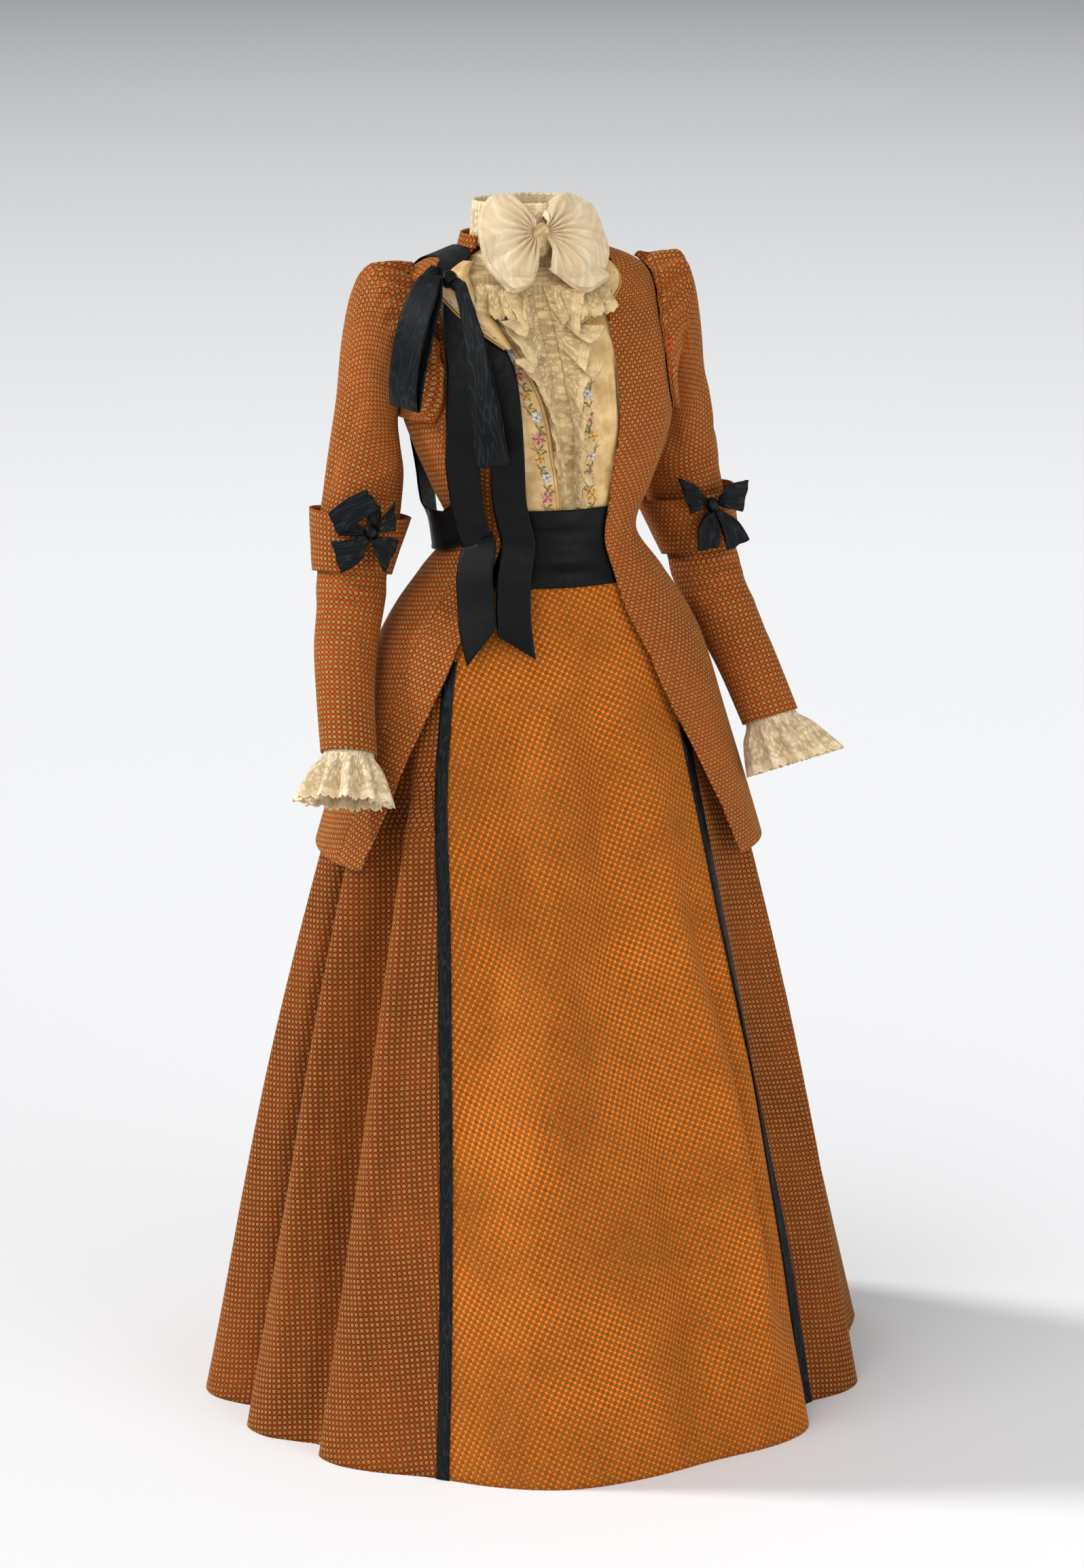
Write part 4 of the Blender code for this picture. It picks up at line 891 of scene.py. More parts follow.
def makeFrills():
    # Rings that leave the wrist along the arm's line: spread + wave x sin(waves x turn), with scallops
    s = frillSettings
    turn = np.linspace(0, 360, s["waves"] * 28, endpoint=False)
    last = len(sleeve["y"]) - 1
    share = np.linspace(0, 1, 34)
    spread, wave = readOff(frill, share, "spread", "wave")
    share = share[:, None]
    phase = np.radians(turn) * s["waves"]
    swell = spread[:, None] + wave[:, None] * np.sin(phase)
    scallop = s["scallopDepth"] * (np.abs(np.sin(phase * s["scallops"] / 2)) - 1) * share**6
    down = (share - s["inside"]) * s["length"] + scallop
    for side, word in sideNames.items():
        ring = sleeveRing(side, last, turn, -s["tuckedIn"])
        centre = ring.mean(axis=0)
        axis = unit(centre - sleeveRing(side, last - 1, turn).mean(axis=0))
        away = np.array([side * s["sweep"], 0.0, 0.0]) * np.clip(share - s["inside"], 0, 1)[..., None]
        points = ring[None] + axis * down[..., None] + unit(ring - centre)[None] * swell[..., None] + away
        points = facingOut(points[::-1], side)
        flat = edgeFlat(points, 0, True)
        node = f"cuff_frill_{word}"
        cloth(f"wristFrill_{word}", points, lace, node, closed=True, flat=flat)


makeFrills()
print("wrist lace made")

# The vest with its lapels and embroidery, the pleated front under it and the lace collar
vestSettings = {
    "bottom": 0.0015,
    "top": 0.270,
    "clearance": 0.0001,
    "under": 9.0,
    "tack": 0.0040,
    "tackFrom": 0.044,
    "pleatedDepth": -0.0021,
    "pleatedUnder": 7.0,  # degrees that the lace goes on under each front
    "pastBorder": 0.02,  # its lace begins beyond the close border
    "lapelLift": 0.0010 + 0.0004 + 0.0003 + 0.00065,
    "overRibbon": 0.0100,
    "collarTop": 0.357,
    "collarPleats": 46,
}
vestEdge = table(
    "height left right",
    (0, 4.5, -7.2), (0.036, 3.7, -7.5), (0.068, 2, -9.5), (0.1, 0.5, -12), (0.155, 0, -14.7),
    (0.18, 0.5, -18), (0.215, 3, -24), (0.24, 9, -31), (0.262, 20, -41), (0.28, 28, -47), (0.306, 46, -60),
)
lapels = {
    left: table(
        "height inner outer",
        (0.232, 6.5, 8), (0.243, 9, 17), (0.256, 14, 26), (0.272, 21, 34), (0.282, 26.5, 36),
        (0.292, 33, 38),
    ),
    right: table(
        "height inner outer",
        (0.21, -23.5, -25), (0.232, -27.5, -36), (0.252, -32.5, -45), (0.27, -37.5, -51), (0.282, -41, -50),
        (0.296, -45.5, -50.5),
    ),
}
vestCreases = {
    left: (
        (0.215, 20, 0.15, 18, 0.085, 20, 4, 3.4, 0.4), (0.205, 23, 0.14, 21, 0.07, 24, 4.5, -3.6, 0.4),
        (0.235, 17, 0.2, 22, 0.16, 25, 4.5, 3, 0.4), (0.11, 25, 0.08, 22, 0.045, 23, 4.5, 3, 0.4),
        (0.078, 15, 0.074, 19, 0.076, 24, 4, -2.6, 0.4), (0.052, 15, 0.048, 19, 0.046, 24, 4, 2, 0.4),
    ),
    right: (
        (0.15, -27, 0.11, -26, 0.066, -27, 4.5, 3.2, 0.4), (0.078, -19, 0.072, -24, 0.076, -29, 4, -3, 0.4),
        (0.12, -31, 0.08, -30, 0.04, -31, 4.5, -3, 0.4), (0.052, -19, 0.046, -24, 0.048, -29, 4, 2.2, 0.4),
    ),
}


def outwardTurn(away, height):
    # The angle that a distance along the cloth takes at a height
    return np.degrees(away / readOff(bodyForm, height, "half"))


def vestPlace(side, away, height, lift):
    # A point of the vest's front: a distance in from its front edge, at a height, lifted off the silk
    edge = readOff(vestEdge, height, sideNames[side])
    point = form(height, edge + side * outwardTurn(away, height))
    return point + outward(point, walls["silk"] / 2 + vestSettings["clearance"] + lift)


def overRibbon(side, share):
    # Extra lift of the right lapel, which lies over the inner ribbon
    return vestSettings["overRibbon"] * smooth(0, 0.12, share) if side == right else 0


def lapelPlace(side, away, height, lift):
    # A point of a lapel: a distance in from its outer edge, at a height, lifted off the silk
    inner, outer = readOff(lapels[side], height, "inner", "outer")
    reach = outwardTurn(away, height)
    point = jacket(height, outer - side * reach)
    over = overRibbon(side, 1 - reach / np.maximum(np.abs(outer - inner), 1e-3))
    return point + outward(point, vestSettings["lapelLift"] + walls["silk"] / 2 + over + lift)


def tubeMesh(name, path, radius):
    # A round cord: circles square to a smooth path, with a flat cap at each end
    sides = 8
    way = unit(np.gradient(path, axis=0))
    first = unit(np.cross(way, (0.3, 1.0, 0.2)))[:, None]
    second = np.cross(way[:, None], first)
    turn = np.linspace(0, 2 * math.pi, sides, endpoint=False)[None, :, None]
    rings = path[:, None] + radius * (first * np.cos(turn) + second * np.sin(turn))
    mesh = gridMesh(name, rings, grain(rings, True), True)
    made = bmesh.new()
    made.from_mesh(mesh)
    bmesh.ops.holes_fill(made, edges=[e for e in made.edges if e.is_boundary], sides=sides)
    bmesh.ops.recalc_face_normals(made, faces=made.faces)
    made.to_mesh(mesh)
    made.free()
    return mesh


flossColours = {
    "white": ("#e8e4d8", "#aeb9c2"),
    "yellow": ("#e9c062", "#c98a2c"),
    "pink": ("#d99a8c", "#b0524e"),
    "leaf": ("#8c8a45", "#6f7436"),
    "stem": "#75552c",
    "middle": "#b5762a",
}
sprigSettings = {
    "flower": 0.0084,  # length of a petal from the flower's middle
    "petals": 9,
    "step": 0.0225,  # from one sprig to the next
    "beside": 0.0135,  # middle of the trail, in from the edge
    "leafTurns": (38, 142, 62, 118),
    "leafLengths": (0.0078, 0.0070, 0.0052, 0.0052),
    "threads": 0.0003,
}


def sprigStitches(heights, waver):
    # Stitched strokes of a trail of daisies: place in from the edge and up, direction, length, width,
    # bend, lift and colour of each. Flowers are rings of petals; stems and leaf pairs join them
    s = sprigSettings
    stem = hexColour(flossColours["stem"])
    rows = []
    for k, height in enumerate(heights):
        kind = flossColours[("white", "yellow", "pink")[(k + waver) % 3]]
        away = s["beside"] + 0.0026 * math.sin(2.1 * k + waver)
        size = s["flower"] * (0.86 + 0.16 * math.sin(1.7 * k + waver))
        for j in range(s["petals"]):
            turn = 360 * j / s["petals"] + 17 * k
            length = size * (0.92 + 0.14 * math.sin(2.9 * j + k))
            rows.append((away, height, turn, length, 0.0030, 0.25, 0.0003, hexColour(kind[j % 2])))
        middle = hexColour(flossColours["middle"])
        rows += [(away, height, 120 * j + 30, 0.0016, 0.0018, 0, 0.0008, middle) for j in range(3)]
        lean = 16 * math.sin(2.6 * k + waver)
        below = height - 0.021
        rows.append((away - 0.001, below, 88 + lean, 0.015, 0.0008, -0.5, 0.0001, stem))
        for j, (turn, length) in enumerate(zip(s["leafTurns"], s["leafLengths"])):
            shade = hexColour(flossColours["leaf"][j % 2])
            rows.append((away - 0.001, below + 0.0032 * j, turn + lean, length, 0.0021, 0.5, 0.0002, shade))
        rows += [(away, below + 0.008, turn + lean, 0.0085, 0.0006, 0.9, 0.0001, stem) for turn in (15, 165)]
    return rows


def stitched(name, rows, place):
    # Each stroke is a leaf shape along a bending line: width x sin(pi x share), crowned across, laid
    # on the cloth by the place function and given the thickness of its threads
    *strokes, colours = zip(*rows)
    away, up, turn, length, width, bend, lift = (np.array(v, float)[:, None, None] for v in strokes)
    steps, over = 8, 5
    share = np.linspace(0, 1, steps)[None, :, None]
    across = np.linspace(-1, 1, over)[None, None, :]
    way = np.radians(turn) + bend * share
    half = width / 2 * np.sin(math.pi * np.clip(share, 0.03, 0.97)) ** 0.6 * across
    x = away + length * share * np.cos(way) - half * np.sin(way)
    y = up + length * share * np.sin(way) + half * np.cos(way)
    raised = lift + 0.0004 * (1 - across**2) * np.sin(math.pi * share) + 0 * x
    i, j, k = np.meshgrid(np.arange(len(rows)), np.arange(steps - 1), np.arange(over - 1), indexing="ij")
    at = (i * steps + j) * over + k
    quads = np.stack([at, at + 1, at + over + 1, at + over], -1).reshape(-1, 4)
    flat = np.stack(np.broadcast_arrays(length * share, half), -1).reshape(-1, 2)
    mesh = quadMesh(name, place(x, y, raised), quads, flat[quads.ravel()])
    colours = np.repeat(np.array(colours), steps * over, axis=0)
    attribute = mesh.color_attributes.new("floss", "FLOAT_COLOR", "POINT")
    attribute.data.foreach_set("color", colours.astype(np.float32).ravel())
    placed(name, mesh, floss, [], sprigSettings["threads"])


trimSettings = {
    "cords": {"Piping": (0.0002, 0.0011), "Stitching": (0.0038, 0.0005)},  # distance in, and radius
    "lift": 0.0002,
    "vestEnds": (0.004, 0.268),
    "lapelIn": 0.001,
    "vestTrail": (0.026, 0.225),
    "lapelTrail": (0.030, 0.288),  # above the lapel's point, and the highest sprig
    "lapelClear": 0.010,
    "closer": 0.8,  # sprigs of a lapel stand closer together, and nearer to its edge
    "narrower": 0.7,
}


def makeTrim(side, word):
    # Piping of the same silk round each edge, a stitched line inside it, and the trail of sprigs
    s = trimSettings
    low, high = lapels[side]["height"][[0, -1]]
    edges = {
        "vest": (vestPlace, np.linspace(*s["vestEnds"], 90)),
        "lapel": (lapelPlace, np.linspace(low + s["lapelIn"], high - s["lapelIn"], 70)),
    }
    for part, (away, radius) in s["cords"].items():
        for edge, (place, rise) in edges.items():
            name = f"{edge}{part}_{word}"
            path = place(side, np.full(len(rise), away), rise, s["lift"])
            placed(name, tubeMesh(name, path, radius), pipingSilk, [])
    step = sprigSettings["step"]
    rows = sprigStitches(np.arange(*s["vestTrail"], step), 0 if side == left else 1)
    stitched(f"vestSprigs_{word}", rows, lambda away, up, lift: vestPlace(side, away, up, lift))
    start, end = s["lapelTrail"]
    rows = sprigStitches(np.arange(low + start, end, step * s["closer"]), 2)
    rows = [row for row in rows if row[1] > low + s["lapelClear"]]
    stitched(
        f"lapelSprigs_{word}",
        rows,
        lambda away, up, lift: lapelPlace(side, away * s["narrower"], up, lift),
    )


def makeVest():
    # Two fronts with lapels, the lace between them, and a pleated band of lace round the neck
    s = vestSettings
    heights = np.linspace(s["bottom"], s["top"], 80)
    for side, word in sideNames.items():
        inner = readOff(vestEdge, heights, word)
        outer = frontEdge(heights, side) + side * s["under"]
        rows = spanned(moved(form, s["clearance"]), heights, inner, outer, 60)
        tacked = smooth(0.75, 1.0, np.linspace(0, 1, 60))[None, :] * (heights > s["tackFrom"])[:, None]
        rows = facingOut(rows + outward(rows, s["tack"] * tacked), side)
        rows = creased(rows, form, vestCreases[side])
        cloth(f"vestFront_{word}", rows, creamSatin, f"vest_front_{word}")
        fine = np.linspace(*lapels[side]["height"][[0, -1]], 40)
        inner, outer = readOff(lapels[side], fine, "inner", "outer")
        rows = spanned(moved(jacket, s["lapelLift"]), fine, inner, outer, 24)
        rows = rows + outward(rows, overRibbon(side, np.linspace(0, 1, 24)) + 0 * rows[..., 0])
        cloth(f"lapelFacing_{word}", facingOut(rows, side), creamSatin, f"lapel_{word}")
        makeTrim(side, word)
    heights = np.linspace(s["bottom"], vestEdge["height"][-1], 70)
    outer, inner = readOff(vestEdge, heights, "left", "right")
    inner, outer = inner - s["pleatedUnder"], outer + s["pleatedUnder"]
    rows = spanned(moved(form, s["pleatedDepth"]), heights, inner, outer, 64)
    angles = np.linspace(inner[-1], outer[-1], 64)
    top = collarRow(neckEdge - 0.0004, angles, neckEdge, s["pleatedDepth"] + 0 * angles)
    rows = np.concatenate([rows, top[None]])
    flat = edgeFlat(rows, 0) + (0, s["pastBorder"])
    cloth("pleatedFront", rows, agedLace, "chemisette", flat=flat)
    angles = np.linspace(0, 360, 240, endpoint=False)[None, :]
    stand = np.linspace(neckEdge, s["collarTop"], 22)[:, None]
    risen = (stand - neckEdge) / (s["collarTop"] - neckEdge)
    pleat = 0.0007 * np.sin(np.radians(angles) * s["collarPleats"]) * smooth(0, 0.3, risen)
    lean = s["pleatedDepth"] - 0.08 * (stand - stand[0]) + pleat
    scallop = 0.0012 * np.abs(np.sin(np.radians(angles) * s["collarPleats"] / 2)) * smooth(0.7, 1, risen)
    rows = collarRow(stand + scallop, angles + 0 * stand, neckEdge, lean + 0 * angles)
    flat = edgeFlat(rows, len(rows) - 1, True)
    cloth("neckBand", rows, lace, "neck_collar", closed=True, flat=flat)


makeVest()
print("vest made")

# The sash: a soft band whose folds stand out between the jacket's edges
sashSettings = {"lift": 0.0031, "wall": 0.0011, "fold": 1.7, "openAt": -11.0, "openWidth": 22.0}
sash = table(
    "height ridge",
    (-0.052, 0), (-0.039, 0.003), (-0.024, 0.0004), (-0.009, 0.0024), (0.006, 0.0002), (0.02, 0.0028),
    (0.034, 0),
)


def makeSash():
    s = sashSettings
    angles = np.linspace(-180, 180, 160, endpoint=False)
    openFront = np.exp(-(((angles - s["openAt"]) / s["openWidth"]) ** 4))
    heights = np.linspace(*sash["height"][[0, -1]], 40)
    ridge = s["fold"] * readOff(sash, heights, "ridge")
    rows = moved(form, s["lift"])(heights[:, None], angles[None, :])
    rows = rows + outward(rows, ridge[:, None] * openFront[None, :])
    stuff = (*satin[:2], s["wall"])
    cloth("waistSash", rows, stuff, "sash", closed=True)


makeSash()
print("sash made")

# Lace at the neck: a bow of two lobes, two short falls and a jabot down the front
jabot = {
    left: table(
        "height middle reach",
        (0.038, -2, 0.01), (0.09, -3, 0.02), (0.14, -4, 0.026), (0.18, -5, 0.034), (0.21, -5, 0.044),
        (0.24, -5, 0.05), (0.272, -6, 0.034),
    ),
    right: table(
        "height middle reach",
        (0.075, -7, 0.012), (0.11, -8, 0.02), (0.15, -8, 0.026), (0.18, -8, 0.036), (0.21, -8.5, 0.046),
        (0.24, -9, 0.048), (0.272, -9, 0.034),
    ),
}
neckLaceSettings = {
    "jabotFolds": 6,
    "swing": 0.015,
    "hang": 0.030,  # how far the folds of the free edge droop over the next ones
    "scallop": 0.0022,
    "lobe": {left: (0.037, 0.053, 0.034, 0.011), right: (0.030, 0.053, 0.031, 0.008)},
    "lobeOpen": 152.0,
    "lobeArch": 0.018,
    "roll": 0.0045,  # radius of the rolled fold at a lobe's rim
    "fallDrop": 0.034,
    "fallAngles": {left: (-2.0, 24.0), right: (-13.0, -35.0)},
    "fallTop": {left: (0.272, 0.002), right: (0.270, 0.006)},  # height of the top, and its rise
    "knotAt": (0.324, -8.0),
    "knotOff": 0.0052,
    "knotForward": 0.0110,
    "knotSizes": (0.0105, 0.0085, 0.0190),
}


def jabotFall(side):
    # Lace gathered on a line down the front: each step out from the line swings to and fro as it
    # goes down, so the free edge makes a row of deep folds; rows run from the line to the free edge
    s = neckLaceSettings
    low, high = jabot[side]["height"][[0, -1]]
    heights = np.linspace(low, high, s["jabotFolds"] * 30 + 1)
    middle, reach = readOff(jabot[side], heights, "middle", "reach")
    root = form(heights, middle + side * 1.2) + outward(form(heights, middle), np.full(len(heights), -0.0004))
    swing = 2 * math.pi * s["jabotFolds"] * np.linspace(0, 1, len(heights))
    swing = swing + 0.5 * np.sin(swing * 0.37 + side)
    share = np.linspace(0, 1, 28)[:, None]
    reach = reach * (0.50 + 0.50 * smooth(0.15, 0.215, heights))
    across = side * share * reach * (0.68 + 0.32 * np.cos(swing))
    lift = 0.004 * share + s["swing"] * share * (1 + np.sin(swing))
    drop = -s["hang"] * share * (1 - np.cos(swing + 0.5)) / 2 * smooth(0.038, 0.10, heights)
    scallop = s["scallop"] * np.abs(np.sin(swing * 3)) * share**8
    points = root[None] + np.stack([across + side * scallop, -lift, drop], axis=-1)
    return resting(points, form, -0.0004 + share * 0.014 + 0.3 * lift)


def neckLobe(side, hub):
    # A lobe of the bow: rays from the knot out to an oval outline, over a bulge, with gathers that
    # spread from the knot, then a roll that takes the rim round to the back
    s = neckLaceSettings
    wide, tall, outBy, downBy = s["lobe"][side]
    outwardWay, upWay = unit(np.array([side, 0.10, -0.02])), unit(np.array([0.0, 0.55, 1.0]))
    front = unit(np.cross(outwardWay, upWay)) * side
    turn = np.linspace(-1, 1, 141)
    bend = np.radians(s["lobeOpen"]) * turn
    out, up = outBy + wide * np.cos(bend), -downBy + tall * np.sin(bend)
    share = np.linspace(0.05, 1, 42)[:, None]
    gathers = 0.0026 * np.sin(turn * 37 + 2 * np.sin(turn * 5)) * np.exp(-(((share - 0.35) / 0.42) ** 2))
    waves = 0.0024 * np.cos(5.3 * math.pi * turn + 0.6 + side) * share**2
    lift = gathers + waves + s["lobeArch"] * np.sin(math.pi * share**0.8 * 0.82)
    roll = np.linspace(0, 2.6, 12)[1:, None]
    grow = np.concatenate([share + 0 * turn, 1 + s["roll"] * np.sin(roll) / np.hypot(out, up)])
    lift = np.concatenate([lift, lift[-1:] - s["roll"] * (1 - np.cos(roll))])
    flat = (out * grow)[..., None] * outwardWay + (up * grow)[..., None] * upWay
    points = hub + flat + lift[..., None] * front
    clear = 0.021 - 0.045 * np.clip((points[..., 2] - 0.282) / 0.03, 0, 1)
    clear = np.where(np.arange(len(points))[:, None] >= len(share), clear - 2 * s["roll"], clear)
    return facingOut(resting(points, jacket, clear), side)


def neckFall(side):
    # A short ruffle under a lobe: gathered along the top, with deep flutes that open towards the
    # scalloped edge; rows run from the top to the edge
    s = neckLaceSettings
    turn = np.linspace(0, 1, 181)
    share = np.linspace(0, 1, 30)[:, None]
    (start, end), (top, rise) = s["fallAngles"][side], s["fallTop"][side]
    flute = 2 * math.pi * 3.5 * turn + 0.7 * np.sin(turn * 9)
    drop = s["fallDrop"] * (1 - 0.25 * turn) + 0.004 * np.cos(flute + 0.6)
    edge = 0.0020 * np.abs(np.sin(flute * 3)) * share**8
    angles = start + (end - start) * (turn + 0.03 * np.sin(flute) * share)
    point = form(top + rise * turn - share * drop - edge, angles)
    return point + outward(point, 0.010 + 0.006 * share + 0.0055 * share * np.sin(flute))


def edgeFlatAcross(points):
    # Lace coordinates of a lobe: u out along its middle ray, v the distance from the nearer side edge
    u, v = runAlong(points[:, points.shape[1] // 2]), runAlong(points, 1)
    return np.stack(np.broadcast_arrays(u[:, None], np.minimum(v, v[:, -1:] - v)), -1)


def knotMesh(name, centre, sizes, turns):
    # A wrapped knot: an egg whose surface is creased by bands of folds running round it
    u = np.linspace(0, 2 * math.pi, 48, endpoint=False)
    v = np.linspace(-math.pi / 2, math.pi / 2, 30)[:, None]
    fold = 1 + 0.07 * np.sin(turns * u + 1.5 * np.sin(2 * v)) * np.cos(v) ** 2
    points = np.stack([np.cos(v) * np.cos(u) * fold, np.cos(v) * np.sin(u) * fold, np.sin(v) + 0 * u], -1)
    points = points * np.array(sizes) + np.array(centre)
    mesh = gridMesh(name, points, grain(points, True), True)
    made = bmesh.new()
    made.from_mesh(mesh)
    bmesh.ops.remove_doubles(made, verts=made.verts, dist=1e-6)
    made.to_mesh(mesh)
    made.free()
    return mesh


def makeNeckLace():
    # The knot, then a lobe, a short fall and a jabot on each side
    s = neckLaceSettings
    depth = np.array(vestSettings["pleatedDepth"])
    height, angle = np.array(s["knotAt"])
    knot = collarRow(height, angle, neckEdge, depth) - (0.0, s["knotOff"], 0.0)
    wrapped = knotMesh("neckKnot", knot - (0.0, s["knotForward"], 0.004), s["knotSizes"], 7)
    placed("neckKnot", wrapped, agedLace, ["neck_bow_knot"])
    for side, word in sideNames.items():
        bow = neckLobe(side, knot + (side * 0.0035, -0.002, 0.0))
        # The jabot's rows run the other way on the two sides, so that both falls face out
        fall, jabotRows = neckFall(side), jabotFall(side)
        fallFlat, jabotFlat = (edgeFlat(rows, len(rows) - 1) for rows in (fall, jabotRows))
        pieces = (
            ("neckBow", bow, net, f"neck_bow_{word}", edgeFlatAcross(bow)),
            ("neckFall", facingOut(fall[::-1], side), agedLace, None, facingOut(fallFlat[::-1], side)),
            ("jabotFall", jabotRows[::-side], agedLace, f"jabot_{word}", jabotFlat[::-side]),
        )
        for name, rows, stuff, node, flat in pieces:
            cloth(f"{name}_{word}", rows, stuff, node, flat=flat)


makeNeckLace()
print("neck lace made")

# Ribbons over the right shoulder
ribbonColumns = "height angle lift width slant"
shoulderRibbons = {
    "streamer_outer": table(
        ribbonColumns,
        (0.266, -45.5, 0.0062, 0.026, 0), (0.24, -44.5, 0.0083, 0.035, 0), (0.19, -45, 0.0083, 0.037, 0),
        (0.13, -49, 0.0083, 0.04, 0), (0.07, -53.5, 0.015, 0.042, 0), (0.02, -54, 0.026, 0.042, 0),
        (-0.035, -49, 0.024, 0.042, 0), (-0.08, -42.5, 0.013, 0.042, 0), (-0.112, -37.5, 0.01, 0.042, 1),
    ),
    "streamer_inner": table(
        ribbonColumns,
        (0.262, -42, 0.0044, 0.02, 0), (0.225, -36, 0.0044, 0.031, 0), (0.17, -30.5, 0.005, 0.038, 0),
        (0.1, -32, 0.0055, 0.038, 0), (0.04, -33.5, 0.013, 0.038, 0), (-0.02, -31.5, 0.016, 0.038, 0),
        (-0.07, -28.5, 0.01, 0.038, 0), (-0.112, -25, 0.007, 0.038, -1),
    ),
    "over_shoulder": table(
        ribbonColumns,
        (0.284, -52, 0.005, 0.03, 0), (0.298, -66, 0.003, 0.034, 0), (0.301, -88, 0.003, 0.03, 0),
        (0.297, -112, 0.003, 0.03, 0), (0.28, -132, 0.003, 0.036, 0), (0.252, -139, 0.003, 0.038, 0),
    ),
    "back_loop": table(
        ribbonColumns,
        (0.243, -140.5, 0.003, 0.038, 0), (0.19, -139, 0.003, 0.04, 0), (0.13, -134, 0.005, 0.04, 0),
        (0.07, -127, 0.01, 0.042, 0), (0.025, -116, 0.019, 0.044, 0), (0.004, -100, 0.022, 0.046, 0),
        (0.006, -84, 0.015, 0.044, 0), (0.018, -72, 0.007, 0.04, 0), (0.026, -62, 0.0045, 0.036, 0),
    ),
}
shortLoops = {
    "short_loop_outer": table(
        "height angle lift width",
        (0.274, -55, 0.025, 0.02), (0.256, -55, 0.034, 0.032), (0.222, -58, 0.04, 0.038),
        (0.185, -63, 0.038, 0.04), (0.148, -68, 0.034, 0.042),
    ),
    "short_loop_inner": table(
        "height angle lift width",
        (0.264, -41.5, 0.024, 0.014), (0.24, -39, 0.025, 0.016), (0.2, -37, 0.025, 0.022),
        (0.15, -36.5, 0.025, 0.029), (0.098, -36.5, 0.026, 0.035),
    ),
}
ribbonSettings = {
    "knotAt": (0.281, -46.0),
    "knotLift": 0.0181,
    "knotSizes": (0.010, 0.009, 0.010),
    "acrossCount": 13,
    "tailSlant": 0.4,
}
pieceNames = {
    "streamer_outer": "streamerOuter",
    "streamer_inner": "streamerInner",
    "over_shoulder": "shoulderRibbon",
    "back_loop": "backLoop",
    "short_loop_outer": "shortLoopOuter",
    "short_loop_inner": "shortLoopInner",
}


def ribbonRoute(shape, rows, finer):
    # A ribbon's middle line: a smooth route over a shape, lifted along the shape's normal
    count = len(rows["height"])
    value = byRow(rows, np.linspace(0, count - 1, count * finer))
    point = shape(value["height"], value["angle"])
    normal = squareTo(shape, value["height"], value["angle"])
    return point + normal * value["lift"][:, None], normal, value


def widened(route, side, width):
    # Rows across a ribbon: its middle line plus or minus half the width
    share = np.linspace(-1, 1, ribbonSettings["acrossCount"])[None, :, None]
    return route[:, None] + side[:, None] * share * (width / 2)[:, None, None], share


def offKnot(knot, sizes, towards, gap):
    # The point just outside a knot's egg on the way to another point
    way = unit(towards - knot)
    return knot + way * (1 / np.linalg.norm(way / np.array(sizes)) + gap)


def makeRibbons():
    # Streamers and ties as flat ribbons over the jacket, a knot, and two loops folded back on themselves
    s = ribbonSettings
    for name, rows in shoulderRibbons.items():
        route, normal, value = ribbonRoute(jacket, rows, 12)
        ways = np.gradient(route, axis=0)
        points, share = widened(route, unit(np.cross(ways, normal)), value["width"])
        # A slanted end is sheared along the ribbon
        sheared = value["slant"] * value["width"] * s["tailSlant"]
        points = points + unit(ways)[:, None] * share * sheared[:, None, None]
        points = resting(points[:, ::-1], jacket, value["lift"].clip(0.0028, 0.009)[:, None])
        cloth(pieceNames[name], points, satin, name)
    middle = jacket(*s["knotAt"])
    knot = middle + outward(middle, s["knotLift"])
    mesh = knotMesh("shoulderKnot", knot, s["knotSizes"], 5)
    placed("shoulderKnot", mesh, satin, ["shoulder_knot"])
    for name, rows in shortLoops.items():
        route, normal, value = ribbonRoute(jacket, rows, 10)
        route[0] = offKnot(knot, s["knotSizes"], route[1], 0.0006)
        puff = np.sin(np.linspace(0, 1, len(route)) * math.pi * 0.92) * 0.007 + 0.0012
        under, over = route - normal * puff[:, None], route + normal * puff[:, None]
        bend = np.linspace(0, math.pi, 9)[1:-1, None]
        tip = unit(route[-1] - route[-2]) * 0.003
        end = route[-1] + (over[-1] - route[-1]) * np.cos(bend) + tip * np.sin(bend)
        side = unit(np.cross(np.gradient(route, axis=0), normal))
        # The ribbon goes out over the top, round the end and back underneath
        back = np.r_[0 : len(route), [-1] * len(end), len(route) - 1 : -1 : -1]
        points = widened(np.concatenate([over, end, under[::-1]]), side[back], value["width"][back])[0]
        cloth(pieceNames[name], points[:, ::-1], moire, name)


makeRibbons()
print("ribbons made")

